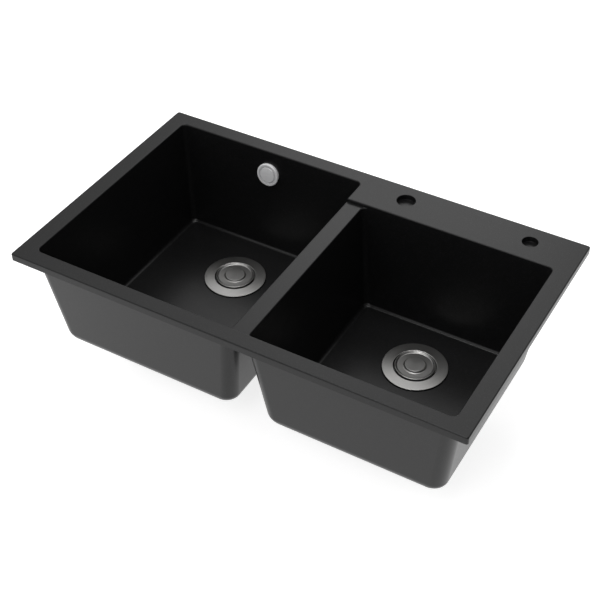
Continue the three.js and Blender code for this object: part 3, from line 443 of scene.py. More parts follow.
def evaluated(obj):
    """A new mesh with the object's modifiers applied."""
    bpy.context.view_layer.update()
    graph = bpy.context.evaluated_depsgraph_get()
    return bpy.data.meshes.new_from_object(obj.evaluated_get(graph), depsgraph=graph)


def skin(rings, around=False):
    """Mesh over rings of points. A ring of one point is a pole, and open ends get a face."""
    bm = bmesh.new()
    made = [[bm.verts.new(point) for point in ring] for ring in rings]
    following = made[1:] + made[:1] if around else made[1:]
    count = max(len(ring) for ring in made)
    for lower, upper in zip(made, following):
        for i in range(count):
            j = (i + 1) % count
            corners = [lower[i % len(lower)], lower[j % len(lower)]]
            corners += [upper[j % len(upper)], upper[i % len(upper)]]
            face = list(dict.fromkeys(corners))
            if len(face) > 2:
                bm.faces.new(face)
    if not around:
        for ring in (made[0], made[-1]):
            if len(ring) > 2:
                bm.faces.new(ring)
    return Shape(bm)


def loft(sections):
    return skin([[(x, y, z) for x, y in outline] for outline, z in sections])


def turned(points, segments=ROUND):
    """Body of revolution about Z. A profile that is off the axis is closed into a ring."""
    rings = []
    for radius, height in points:
        if radius < ON_AXIS:
            rings.append([(0, 0, height)])
        else:
            rings.append([(x, y, height) for x, y in arc(0, 0, radius, 0, 360, segments)[:-1]])
    return skin(rings, around=len(rings[0]) > 1)


def rod(radius, low, high, segments=ROUND):
    return turned([(0, low), (radius, low), (radius, high), (0, high)], segments)


def tube(inner, outer, low, high, soft=EDGE_R, segments=ROUND):
    corners = [(inner, low), (outer, low), (outer, high), (inner, high)]
    return turned(softened(corners, soft), segments)


def prism(outline, low, high):
    return loft([(outline, low), (outline, high)])


def block(width, depth, height):
    corners = [(-1, -1), (1, -1), (1, 1), (-1, 1)]
    outline = [(x * width / 2, y * depth / 2) for x, y in corners]
    return prism(outline, -height / 2, height / 2)


def helix(radius, depth, pitch, low, high, segments=SMALL_ROUND):
    """Ridge of a screw thread that stands on a rod of the given radius."""
    count = int((high - low - pitch) / pitch * segments)
    rings = []
    for i in range(count + 1):
        angle = 2 * math.pi * i / segments
        foot = low + pitch * i / segments
        taper = min(1, i / (segments / 4), (count - i) / (segments / 4))
        crest = (depth * taper, pitch * THREAD_CREST)
        section = [(-depth, 0), crest, (-depth, pitch * THREAD_END)]
        cosine, sine = math.cos(angle), math.sin(angle)
        rings.append([((radius + r) * cosine, (radius + r) * sine, foot + z) for r, z in section])
    return skin(rings)


# --- pieces


def placed(name, data):
    """A new object in the scene, in place of an older one of that name."""
    old = bpy.data.objects.get(name)
    if old:
        bpy.data.objects.remove(old)
    obj = bpy.data.objects.new(name, data)
    bpy.context.scene.collection.objects.link(obj)
    return obj


def piece(name, shape, node, slot, place=None, body="sink", crease=CREASE_DEG, finish=None):
    """Puts a shape in the scene in place of a CAD node, with smooth faces and a finish.

    The finish is the material of its slot, unless another one is named.
    """
    obj = placed(name, shape.mesh)
    smoothed(obj, crease)
    obj.data.name = name
    obj.data.materials.clear()
    obj.data.materials.append(bpy.data.materials[finish or slot])
    obj.matrix_world = place or Matrix.Identity(4)
    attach(obj, body)
    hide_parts(node)


def smoothed(obj, crease):
    """Smooth shading that stops at edges sharper than the crease, weighted by face area."""
    bm = bmesh.new()
    bm.from_mesh(obj.data)
    open_edges = [edge for edge in bm.edges if len(edge.link_faces) != 2]
    if open_edges:
        raise RuntimeError(f"{obj.name} isn't closed: {len(open_edges)} open edges")
    for face in bm.faces:
        face.smooth = True
    for edge in bm.edges:
        edge.smooth = edge.calc_face_angle() < math.radians(crease)
    bm.to_mesh(obj.data)
    bm.free()
    modifier = obj.modifiers.new("normals", "WEIGHTED_NORMAL")
    modifier.keep_sharp = True
    obj.data = evaluated(obj)
    obj.modifiers.clear()


# --- where things lie


class Plan:
    """Where the rim, the bowls and the overflow lie, from the sizes in the sidebar."""

    def __init__(self, sizes):
        self.sizes = sizes
        self.lean = math.tan(sizes.draft)
        self.top = sizes.rim_thickness
        self.floor = self.top - sizes.bowl_depth
        self.divider_top = self.top - sizes.divider_drop
        half_length = sizes.rim_length / 2
        half_depth = sizes.rim_depth / 2
        self.rim = (-half_length, half_length, -half_depth, half_depth)
        left = -half_length + sizes.side_band
        front = -half_depth + sizes.front_band
        divider = left + sizes.left_bowl_width
        self.left = (left, divider, front, half_depth - sizes.back_band)
        self.right = (
            divider + sizes.divider_width,
            half_length - sizes.side_band,
            front,
            half_depth - sizes.tap_deck,
        )
        self.overflow = Vector(
            (
                (self.left[0] + self.left[1]) / 2,
                self.left[3] - self.lean * OVERFLOW_DOWN,
                self.top - OVERFLOW_DOWN,
            )
        )

    def wall_inset(self, level):
        return self.lean * (self.top - level)

    def bowl_rings(self, floor, fillet):
        """Insets and levels of a bowl's floor fillet, tangent to the leaning wall."""
        draft = self.sizes.draft
        touch = floor + fillet * (1 - math.sin(draft))
        centre = self.wall_inset(touch) + fillet * math.cos(draft)
        end = 180 + math.degrees(draft)
        return arc(centre, floor + fillet, fillet, 270, end, FILLET_STEPS)

    def lip_rings(self, level):
        """Insets and levels of the rounded upper edge of an opening."""
        centre = self.wall_inset(level - RIM_ARRIS) - RIM_ARRIS
        rings = arc(centre, level - RIM_ARRIS, RIM_ARRIS, 0, 90, ARRIS_STEPS)
        return rings + [(centre, level + THROUGH)]

    def bowl_loft(self, bowl, corner, rings):
        radii = [corner + max(-by, 0) for by, _ in rings]
        sections = zip(rings, radii)
        return loft([(rounded_rectangle(inset(bowl, by), r), z) for (by, z), r in sections])

    def over_divider(self, foot):
        """Everything between the front rim and the tap deck over the divider."""
        rings = [(self.wall_inset(foot), foot)] + self.lip_rings(self.top)
        front = [(self.right[2] + by, z) for by, z in rings]
        back = [(self.right[3] - by, z) for by, z in rings]
        start = self.left[1] - BOWL_CORNER_R
        end = self.right[0] + BOWL_CORNER_R
        outline = front[::-1] + back
        return skin([[(x, y, z) for y, z in outline] for x in (start, end)])

    def wall_place(self):
        """Matrix from the overflow's own axes, +Z out of the wall and +Y up it."""
        tilt = Matrix.Rotation(math.pi / 2 - self.sizes.draft, 4, "X")
        return Matrix.Translation(self.overflow) @ tilt


def waste_crown(side):
    """Middle of a waste at the crown of its flange, from the CAD node."""
    low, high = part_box("strainer_bowl_" + side)
    return Vector(((low.x + high.x) / 2, (low.y + high.y) / 2, high.z))


def waste_place(side):
    return Matrix.Translation(waste_crown(side))


# --- the moulding


def moulding(plan):
    rim_rings = [(RIM_LOWER_CHAMFER, 0), (0, RIM_LOWER_CHAMFER)]
    rim_rings += arc(RIM_ARRIS, plan.top - RIM_ARRIS, RIM_ARRIS, 180, 90, ARRIS_STEPS)
    body = loft(
        [(rounded_rectangle(inset(plan.rim, by), RIM_CORNER_R), z) for by, z in rim_rings]
    )
    shell = plan.bowl_rings(plan.floor - FLOOR_THICKNESS, OUTER_FILLET_R)
    shell.append((plan.wall_inset(plan.divider_top), plan.divider_top))
    hollow = plan.bowl_rings(plan.floor, FLOOR_FILLET_R) + plan.lip_rings(plan.top)
    bowls = (plan.left, plan.right)
    for bowl in bowls:
        body += plan.bowl_loft(inset(bowl, -WALL), OUTER_CORNER_R, shell)
    for bowl in bowls:
        body -= plan.bowl_loft(bowl, BOWL_CORNER_R, hollow)
    body -= plan.over_divider(plan.divider_top)
    foot = plan.divider_top - 2 * RIM_ARRIS
    edge = [(plan.wall_inset(foot) + RIM_ARRIS, foot)] + plan.lip_rings(plan.divider_top)
    for bowl in bowls:
        rounding = plan.bowl_loft(bowl, BOWL_CORNER_R, edge)
        body -= rounding & plan.over_divider(foot)
    for side in SIDES:
        x, y, _ = waste_crown(side)
        body -= drain_seat(plan).moved(x, y, 0)
    body -= knockout(plan, TAP_HOLE_D, TAP_HOLE_FROM_RIGHT)
    body -= knockout(plan, SIDE_HOLE_D, SIDE_HOLE_FROM_RIGHT)
    hole = rod(OVERFLOW_HOLE_R, -WALL - THROUGH, THROUGH)
    hole.mesh.transform(plan.wall_place())
    return body - hole


def drain_seat(plan):
    seat = plan.floor - DRAIN_RECESS
    recess = FLANGE_R + RECESS_CLEARANCE
    top = plan.floor + THROUGH
    under = plan.floor - FLOOR_THICKNESS - THROUGH
    return turned(
        [
            (0, under),
            (FLOOR_HOLE_R, under),
            (FLOOR_HOLE_R, seat),
            (recess, seat),
            *arc(recess + EDGE_R, plan.floor - EDGE_R, EDGE_R, 180, 90, 2),
            (recess + EDGE_R, top),
            (0, top),
        ]
    )


def knockout(plan, diameter, from_right):
    """Cutter of a blind round hole with a slightly rounded mouth and foot."""
    radius = diameter / 2
    foot = plan.top - KNOCKOUT_DEPTH
    soft = KNOCKOUT_ROUNDING
    return turned(
        [
            (0, foot),
            *arc(radius - soft, foot + soft, soft, -90, 0, 3),
            *arc(radius + soft, plan.top - soft, soft, 180, 90, 3),
            (radius + soft, plan.top + THROUGH),
            (0, plan.top + THROUGH),
        ],
    ).moved(plan.rim[1] - from_right, plan.rim[3] - HOLES_FROM_BACK, 0)


# --- the fixed waste


def flange_fall(radius):
    """Depth of the flange's outer slope under the crown."""
    slope = (FLANGE_FALL - FLANGE_CREASE_FALL) / (FLANGE_R - STEEL / 2 - FLANGE_CREASE_R)
    return FLANGE_CREASE_FALL + slope * (radius - FLANGE_CREASE_R)


def strainer_bowl():
    """Pressed flange and cup in one, with windows in the cup's bottom."""
    edge = FLANGE_R - STEEL / 2
    bottom = -CUP_DEPTH + CUP_FLOOR_FILLET_R
    roll = arc(THROAT_R + THROAT_ROLL_R, -THROAT_ROLL_R, THROAT_ROLL_R, 90, 180, FILLET_STEPS)
    fillet = arc(CUP_BOTTOM_R, bottom, CUP_FLOOR_FILLET_R, 0, -90, FILLET_STEPS)
    sheet = [
        (FLANGE_R, -FLANGE_FALL - STEEL / 2),
        (FLANGE_R - STEEL / 6, -FLANGE_FALL - STEEL / 5),
        (edge, -FLANGE_FALL),
        (FLANGE_CREASE_R + MM, -flange_fall(FLANGE_CREASE_R + MM)),
        (FLANGE_CREASE_R, -FLANGE_CREASE_FALL),
        *roll,
        (THROAT_R, -THROAT_STRAIGHT),
        *fillet,
        (SCREW_HOLE_R, -CUP_DEPTH),
    ]
    half_bar = math.degrees(CUP_BAR / CUP_WINDOW_OUT_R) / 2
    start, end = half_bar, 360 / CUP_WINDOWS - half_bar
    outline = arc(0, 0, CUP_WINDOW_OUT_R, start, end, FILLET_STEPS)
    outline += arc(0, 0, CUP_WINDOW_IN_R, end, start, FILLET_STEPS)
    window = prism(outline, CUP_UNDER_AT - THROUGH, -CUP_DEPTH + THROUGH)
    return turned(pressed(sheet[::-1], STEEL)) - window.repeated(CUP_WINDOWS)


def flange_seal():
    """Ring of foam whose top follows the slope of the flange."""
    outer = FLANGE_R - FLANGE_SEAL_INSET
    inner = outer - FLANGE_SEAL_WIDTH
    low = RECESS_AT + SEAT_GAP
    sheet = SLOPED_SHEET + SEAT_GAP
    top_out, top_in = -flange_fall(outer) - sheet, -flange_fall(inner) - sheet
    return turned([(inner, low), (outer, low), (outer, top_out), (inner, top_in)])


def body_gasket():
    outer = BODY_FLANGE_R - GASKET_INSET
    return tube(outer - GASKET_WIDTH, outer, GASKET_AT - GASKET_THICKNESS, GASKET_AT)


def branch_rod(radius, start, end):
    shape = rod(radius, start, end, SMALL_ROUND).turned_about("X", -90)
    return shape.moved(0, 0, -BRANCH_DEPTH)


def waste_body(branched):
    """Cup-shaped plastic body down to its threaded tail, with the boss for the screw."""
    foot = -BODY_STRAIGHT_TO - BODY_FUNNEL
    end = foot - OUTLET_LENGTH
    inner = BODY_R - BODY_WALL
    bore = OUTLET_R - OUTLET_WALL
    flange_under = BODY_AT - BODY_FLANGE
    ridge_r = OUTLET_R - OUTLET_THREAD
    outside = [
        (0, BODY_AT),
        (BODY_FLANGE_R, BODY_AT),
        (BODY_FLANGE_R, flange_under),
        (BODY_R, flange_under),
        (BODY_R, -BODY_STRAIGHT_TO),
        (OUTLET_R, foot),
        (OUTLET_R, foot - OUTLET_PLAIN),
        (ridge_r, foot - 2 * OUTLET_PLAIN),
        (ridge_r, end),
        (0, end),
    ]
    inside = [
        (0, BODY_AT + THROUGH),
        (inner, BODY_AT + THROUGH),
        (inner, -BODY_STRAIGHT_TO),
        (bore, foot),
        (bore, end - THROUGH),
        (0, end - THROUGH),
    ]
    shell = turned(softened(outside, 3 * EDGE_R, 3))
    shell += body_rib().repeated(BODY_RIBS, 180 / BODY_RIBS)
    if branched:
        shell += branch_rod(PIPE_R, inner, BRANCH_REACH)
    shell -= turned(inside)
    if branched:
        shell -= branch_rod(PIPE_R - PIPE_WALL, inner - 2 * THROUGH, BRANCH_REACH + THROUGH)
    boss_top = CUP_UNDER_AT - SEAT_GAP
    boss = rod(BOSS_R, boss_top - BOSS_LENGTH, boss_top, SMALL_ROUND)
    reach = inner + BODY_WALL / 2
    arm_middle = boss_top - BOSS_ARM_TOP - BOSS_ARM_HEIGHT / 2
    arm = block(reach, BOSS_ARM, BOSS_ARM_HEIGHT).moved(reach / 2, 0, arm_middle)
    for copy in arm.copies(BOSS_ARMS, -90):
        boss += copy
    boss &= turned(outside)
    boss -= rod(SCREW_HOLE_R, SCREW_END_AT - MM, boss_top + THROUGH, SMALL_ROUND)
    thread = helix(ridge_r, OUTLET_THREAD, OUTLET_PITCH, end, foot - 2 * OUTLET_PLAIN, ROUND)
    return merged(shell + boss, thread)


def body_rib():
    """Stiffening rib between the body's flange and its wall."""
    low = BODY_AT - BODY_FLANGE
    foot = BODY_R - BODY_WALL / 2
    tip = BODY_FLANGE_R - BODY_RIB_SETBACK
    outline = [
        (foot, low + MM),
        (foot, low - BODY_RIB_DROP),
        (BODY_R + MM, low - BODY_RIB_DROP),
        (tip, low),
        (tip, low + MM),
    ]
    return prism(outline, -BODY_RIB / 2, BODY_RIB / 2).turned_about("X", 90)


def centre_screw():
    core = SCREW_R - SCREW_THREAD
    profile = [
        (0, SCREW_END_AT),
        (core, SCREW_END_AT),
        (core, SCREW_HEAD_AT),
        (SCREW_HEAD_R, SCREW_HEAD_AT),
        (SCREW_HEAD_R, SCREW_TOP_AT - SCREW_CHAMFER),
        (SCREW_HEAD_R - SCREW_CHAMFER, SCREW_TOP_AT),
        (0, SCREW_TOP_AT),
    ]
    screw = turned(softened(profile), SMALL_ROUND)
    slot = block(2 * SCREW_HEAD_R + THROUGH, SCREW_SLOT, 2 * SCREW_SLOT_DEPTH)
    screw -= slot.moved(0, 0, SCREW_TOP_AT)
    thread = helix(core, SCREW_THREAD, SCREW_PITCH, SCREW_END_AT, SCREW_HEAD_AT - MM)
    return merged(screw, thread)


# --- the lift-out basket


def basket():
    """Pressed basket with round-ended slots in its wall and floor."""
    rim_top = -BASKET_RIM_DROP
    foot_z = BASKET_FLOOR_AT + BASKET_FOOT_FILLET
    foot_r = BASKET_FOOT_R + BASKET_FOOT_FILLET
    roll_r = BASKET_WALL_R + BASKET_ROLL
    lean, steps = BASKET_WALL_LEAN_DEG, BASKET_FOOT_STEPS
    foot = arc(BASKET_FOOT_R, foot_z, BASKET_FOOT_FILLET, lean, -90, steps)
    sheet = [
        (BASKET_RIM_R, rim_top),
        *arc(roll_r, rim_top - BASKET_ROLL, BASKET_ROLL, 90, 180, BASKET_ROLL_STEPS),
        *foot,
        (HUB_HOLE_R, BASKET_FLOOR_AT),
    ]
    wall = BASKET_DEPTH - BASKET_ROLL - BASKET_FOOT_FILLET
    outline = stadium(wall - 2 * BASKET_SLOT_MARGIN, BASKET_SLOT_WIDTH)
    slot = prism(outline, -BASKET_SLOT_CUT, BASKET_SLOT_CUT).turned_about("Y", 90)
    slot.moved((BASKET_WALL_R + foot_r) / 2, 0, rim_top - BASKET_ROLL - wall / 2)
    floor_slot = prism(
        stadium(FLOOR_SLOT_LENGTH, BASKET_SLOT_WIDTH),
        BASKET_UNDER_AT - THROUGH,
        BASKET_FLOOR_AT + THROUGH,
    ).moved(FLOOR_SLOT_IN_R + FLOOR_SLOT_LENGTH / 2, 0, 0)
    body = turned(pressed(sheet[::-1], BASKET_SHEET))
    body -= slot.repeated(BASKET_SLOTS)
    return body - floor_slot.repeated(FLOOR_SLOTS)


def basket_stem():
    """Post from the basket's floor to the lid, and the split socket under the floor."""
    top = -LID_SHEET - SEAT_GAP
    shoulder = BASKET_FLOOR_AT + SEAT_GAP
    socket_end = BASKET_UNDER_AT - SOCKET_LENGTH
    roof = SCREW_TOP_AT + CLOSING_TRAVEL + SOCKET_HEADROOM
    lip = BASKET_UNDER_AT - SEAT_GAP - PLUG_WEB - SEAT_GAP
    stud_r = KNOB_STUD_R + SEAT_GAP
    profile = [
        (0, roof),
        (SOCKET_R, roof),
        (SOCKET_R, socket_end),
        (SOCKET_OUTER_R, socket_end),
        (SOCKET_OUTER_R + SOCKET_LIP, lip),
        (SOCKET_OUTER_R, lip),
        (SOCKET_OUTER_R, shoulder),
        (STEM_SHOULDER_R, shoulder),
        (STEM_SHOULDER_R, shoulder + STEM_SHOULDER),
        (STEM_R, roof + 2 * STEM_SHOULDER),
        (STEM_R, top),
        (stud_r, top),
        (stud_r, -KNOB_STUD_LENGTH - MM),
        (0, -KNOB_STUD_LENGTH - MM),
    ]
    stem = turned(softened(profile), SMALL_ROUND)
    slot_top = BASKET_UNDER_AT - MM
    height = slot_top - socket_end + THROUGH
    slot = block(2 * SOCKET_OUTER_R + 2 * THROUGH, SOCKET_SLOT, height)
    for copy in slot.moved(0, 0, slot_top - height / 2).copies(2, whole=180):
        stem -= copy
    return stem


def basket_plug():
    top = BASKET_UNDER_AT - SEAT_GAP
    foot = -CUP_DEPTH + CLOSING_TRAVEL + SEAT_GAP
    profile = [
        (HUB_HOLE_R, top),
        (PLUG_R - PLUG_TAPER, top),
        (PLUG_R, foot + MM),
        (PLUG_R, foot),
        (PLUG_R - PLUG_TAPER, foot),
        (PLUG_R - PLUG_LIP, top - PLUG_WEB),
        (HUB_HOLE_R, top - PLUG_WEB),
    ]
    return turned(softened(profile, 2 * EDGE_R))


def basket_lid():
    """Dished disc with a rolled rim that stands over the throat."""
    roll = LID_R - LID_CREST_R
    crest = arc(LID_CREST_R, LID_CREST - roll, roll, LID_CREST_START_DEG, 0, LID_CREST_STEPS)
    reach, rise = crest[0][0] - LID_DISH_R, crest[0][1]
    climb = [i / LID_SLOPE_STEPS for i in range(LID_SLOPE_STEPS)]
    sheet = [
        (KNOB_STUD_R + SEAT_GAP, 0),
        *[(LID_DISH_R + reach * t, rise * t * t) for t in climb],
        *crest,
        (LID_R, -LID_SKIRT),
    ]
    return turned(pressed(sheet, LID_SHEET))


def lid_knob():
    """Round grip with a fillet at its foot, on a stud that goes through the lid."""
    low, high = SEAT_GAP + KNOB_FOOT, KNOB_TOP - KNOB_EDGE
    foot = arc(KNOB_R + KNOB_FOOT, low, KNOB_FOOT, 270, 180, KNOB_FOOT_STEPS)
    edge = arc(KNOB_R - KNOB_EDGE, high, KNOB_EDGE, 0, 90, KNOB_EDGE_STEPS)
    return turned(
        [
            (0, -KNOB_STUD_LENGTH),
            (KNOB_STUD_R, -KNOB_STUD_LENGTH),
            (KNOB_STUD_R, SEAT_GAP),
            *foot,
            *edge,
            (0, KNOB_TOP),
        ]
    )


# --- the overflow


def overflow_cover():
    """Round face with a groove, on a skirt that lets water in from below."""
    skirt = SPIDER_R + SEAT_GAP
    face = COVER_STAND + COVER_FACE
    start, steps = COVER_BEVEL_START_DEG, COVER_BEVEL_STEPS
    bevel = arc(COVER_R - COVER_BEVEL, face - COVER_BEVEL, COVER_BEVEL, start, 90, steps)
    half = COVER_GROOVE_HALF
    cover = turned(
        [
            (0, COVER_STAND),
            (skirt, COVER_STAND),
            (skirt, SEAT_GAP),
            (skirt + COVER_SKIRT, SEAT_GAP),
            (skirt + COVER_SKIRT, COVER_STAND),
            (COVER_R - EDGE_R, COVER_STAND),
            (COVER_R, COVER_STAND + EDGE_R),
            *bevel,
            *[(COVER_GROOVE_R + half * r, face - COVER_GROOVE * z) for r, z in GROOVE_PROFILE],
            (COVER_GROOVE_R - half, face + COVER_DOME / 4),
            *[(COVER_GROOVE_R * r, face + COVER_DOME * z) for r, z in FACE_PROFILE],
        ]
    )
    first = -(COVER_NOTCHES - 1) / 2 * COVER_NOTCH_PITCH_DEG
    keep = rod(skirt - THROUGH, -THROUGH, COVER_STAND + THROUGH)
    notch = block(COVER_NOTCH_WIDTH, 2 * COVER_R, COVER_STAND)
    notch.moved(0, -COVER_R, COVER_STAND / 2 - THROUGH / 4)
    for copy in notch.copies(COVER_NOTCHES, first, COVER_NOTCHES * COVER_NOTCH_PITCH_DEG):
        cover -= copy - keep
    return cover


def overflow_spider():
    """Ring in the mouth of the hole, with the hub that the screw pulls on."""
    front = SEAT_GAP + SPIDER_FLANGE
    profile = [
        (SPIDER_BORE_R, -SPIDER_COLLAR),
        (SPIDER_COLLAR_R, -SPIDER_COLLAR),
        (SPIDER_COLLAR_R, SEAT_GAP),
        (SPIDER_R, SEAT_GAP),
        (SPIDER_R, front),
        (SPIDER_BORE_R, front),
    ]
    spider = turned(softened(profile))
    reach = SPIDER_BORE_R + MM
    arm = block(reach, SPIDER_ARM, front + SPIDER_ARM_DEPTH)
    arm.moved(reach / 2, 0, (front - SPIDER_ARM_DEPTH) / 2)
    for copy in arm.copies(SPIDER_ARMS, 90):
        spider += copy
    spider += rod(SPIDER_HUB_R, -SPIDER_HUB_DEPTH, front, SMALL_ROUND)
    bore = COVER_SCREW_R + SEAT_GAP
    return spider - rod(bore, -SPIDER_HUB_DEPTH - THROUGH, front + THROUGH, SMALL_ROUND)


def overflow_screw():
    seat = 2 * SEAT_GAP + SPIDER_FLANGE
    end = seat - COVER_SCREW_LENGTH
    core = COVER_SCREW_R - SCREW_THREAD
    head, dome = COVER_SCREW_HEAD_R, COVER_SCREW_HEAD
    profile = [(0, end), (core, end), (core, seat)]
    profile += [(head * r, seat + dome * z) for r, z in SCREW_DOME_PROFILE]
    screw = turned(profile, SMALL_ROUND)
    slot = block(head, COVER_SCREW_SLOT, dome).moved(0, 0, seat + dome)
    for copy in slot.copies(2, whole=180):
        screw -= copy
    return merged(screw, helix(core, SCREW_THREAD, SCREW_PITCH, end, seat - MM))


def elbow_levels(draft):
    """Levels behind the overflow: the wall's outside, the seal and the elbow's flange."""
    wall_back = -WALL * math.cos(draft)
    seal = wall_back - SEAT_GAP
    return wall_back, seal, seal - ELBOW_SEAL - SEAT_GAP


def overflow_seal(draft):
    _, seal, _ = elbow_levels(draft)
    outer = ELBOW_R - ELBOW_SEAL_INSET
    return tube(outer - ELBOW_SEAL_WIDTH, outer, seal - ELBOW_SEAL, seal)


def chamber_outline(by):
    """Outline of the elbow's chamber, round at the hole and narrow at the spigot."""
    radius = ELBOW_R - ELBOW_FLANGE - by
    half, foot, corner = ELBOW_NECK_HALF - by, -ELBOW_NECK + by, ELBOW_CORNER_R - by
    return (
        arc(0, 0, radius, *ELBOW_ROUND_DEG, ELBOW_ROUND_STEPS)
        + arc(-half + corner, foot + corner, corner, 180, 270, ARRIS_STEPS)
        + arc(half - corner, foot + corner, corner, 270, 360, ARRIS_STEPS)
    )


def overflow_elbow(draft):
    wall_back, _, front = elbow_levels(draft)
    back = front - ELBOW_CHAMBER
    spigot_at = wall_back - SPIGOT_OFF_WALL
    end = ELBOW_NECK + SPIGOT_LENGTH

    def spigot(radius, start, stop):
        shape = rod(radius, start, stop, SMALL_ROUND).turned_about("X", 90)
        return shape.moved(0, 0, spigot_at)

    elbow = loft(
        [
            (chamber_outline(MM), back),
            (chamber_outline(EDGE_R), back + EDGE_R),
            (chamber_outline(0), back + MM),
            (chamber_outline(0), front),
        ]
    )
    elbow += tube(ELBOW_R - ELBOW_SEAL_WIDTH, ELBOW_R, front - ELBOW_WALL, front)
    elbow += spigot(PIPE_R, ELBOW_NECK - ELBOW_WALL, end)
    elbow -= prism(chamber_outline(ELBOW_WALL), back + ELBOW_WALL, front - ELBOW_WALL)
    elbow -= rod(OVERFLOW_HOLE_R, front - ELBOW_WALL - MM, front + THROUGH, SMALL_ROUND)
    elbow -= spigot(PIPE_R - PIPE_WALL, ELBOW_NECK - 2 * ELBOW_WALL, end + THROUGH)
    elbow += rod(ELBOW_POST_R, back + MM, front - MM, SMALL_ROUND)
    screw_end = 2 * SEAT_GAP + SPIDER_FLANGE - COVER_SCREW_LENGTH
    bore = COVER_SCREW_R + SEAT_GAP
    return elbow - rod(bore, screw_end - MM, front + THROUGH, SMALL_ROUND)


# --- the overflow hose


class HoseLine:
    """The hose's line in the upright plane of the left waste: down, round and level."""

    def __init__(self, plan):
        self.draft = plan.sizes.draft
        sine, cosine = math.sin(self.draft), math.cos(self.draft)
        self.down = (-sine, -cosine)
        spigot_at = elbow_levels(self.draft)[0] - SPIGOT_OFF_WALL
        reach = ELBOW_NECK + SPIGOT_LENGTH + SEAT_GAP
        self.start = (
            plan.overflow.y - reach * sine - spigot_at * cosine,
            plan.overflow.z - reach * cosine + spigot_at * sine,
        )
        crown = waste_crown("left")
        self.x = crown.x
        self.level = crown.z - BRANCH_DEPTH
        self.centre_y = crown.y + BRANCH_REACH + SEAT_GAP + HOSE_CUFF
        height = self.start[1] - self.level
        overrun = self.start[0] - plan.lean * height - self.centre_y
        self.bend_r = overrun / (cosine - plan.lean + plan.lean * sine)
        self.run = (height - self.bend_r * (1 - sine)) / cosine
        self.bend = math.pi / 2 - self.draft
        self.length = self.run + self.bend_r * self.bend + HOSE_CUFF

    def at(self, distance):
        """Point and direction at a distance along the line."""
        if distance < self.run:
            point = [s + distance * d for s, d in zip(self.start, self.down)]
            return point, self.down
        past = distance - self.run
        if past > self.bend_r * self.bend:
            return (self.centre_y - past + self.bend_r * self.bend, self.level), (-1, 0)
        angle = -self.draft - past / self.bend_r
        sine, cosine = math.sin(angle), math.cos(angle)
        point = (
            self.centre_y + self.bend_r * cosine,
            self.level + self.bend_r * (1 + sine),
        )
        return point, (sine, -cosine)

    def ring(self, distance, radius):
        point, way = self.at(distance)
        ring = []
        for across, off in arc(0, 0, radius, 0, 360, HOSE_SIDES)[:-1]:
            ring.append((across, point[0] - off * way[1], point[1] + off * way[0]))
        return ring


def overflow_hose(line):
    """Ribbed hose with a smooth cuff at each end and a bore right through."""
    ribbed = line.length - 2 * HOSE_CUFF
    ribs = math.floor(ribbed / HOSE_PITCH)
    middle, swing = (HOSE_CREST_R + HOSE_ROOT_R) / 2, (HOSE_CREST_R - HOSE_ROOT_R) / 2
    rings = [line.ring(0, PIPE_R), line.ring(HOSE_CUFF, PIPE_R)]
    count = ribs * HOSE_RINGS_PER_RIB
    for i in range(1, count):
        wave = math.cos(2 * math.pi * i / HOSE_RINGS_PER_RIB)
        radius = middle - swing * wave
        rings.append(line.ring(HOSE_CUFF + ribbed * i / count, radius))
    rings.append(line.ring(line.length - HOSE_CUFF, PIPE_R))
    rings.append(line.ring(line.length, PIPE_R))
    for i in range(ribs + 1):
        rings.append(line.ring(line.length * (1 - i / ribs), HOSE_BORE_R))
    return skin(rings, around=True)


def hose_nut():
    """Sleeve nut with grip ribs."""
    half, outer = NUT_LENGTH / 2, NUT_R - NUT_RIB
    nut = tube(PIPE_R + SEAT_GAP, outer, -half, half, 2 * EDGE_R, SMALL_ROUND)
    rib = block(2 * NUT_RIB, NUT_RIB_WIDTH, NUT_LENGTH - THROUGH).moved(outer, 0, 0)
    for copy in rib.copies(NUT_RIBS):
        nut += copy
    return nut


# --- shader expressions


class Port:
    """Output of a shader node. Arithmetic on it adds Math nodes."""

    def __init__(self, finish, socket):
        self.finish = finish
        self.socket = socket

    def math(self, operation, first, second):
        settings = {"operation": operation}
        return self.finish.node("ShaderNodeMath", settings, {0: first, 1: second})

    def __add__(self, other):
        return self.math("ADD", self, other)

    def __radd__(self, other):
        return self.math("ADD", other, self)

    def __mul__(self, other):
        return self.math("MULTIPLY", self, other)

    def __rmul__(self, other):
        return self.math("MULTIPLY", other, self)


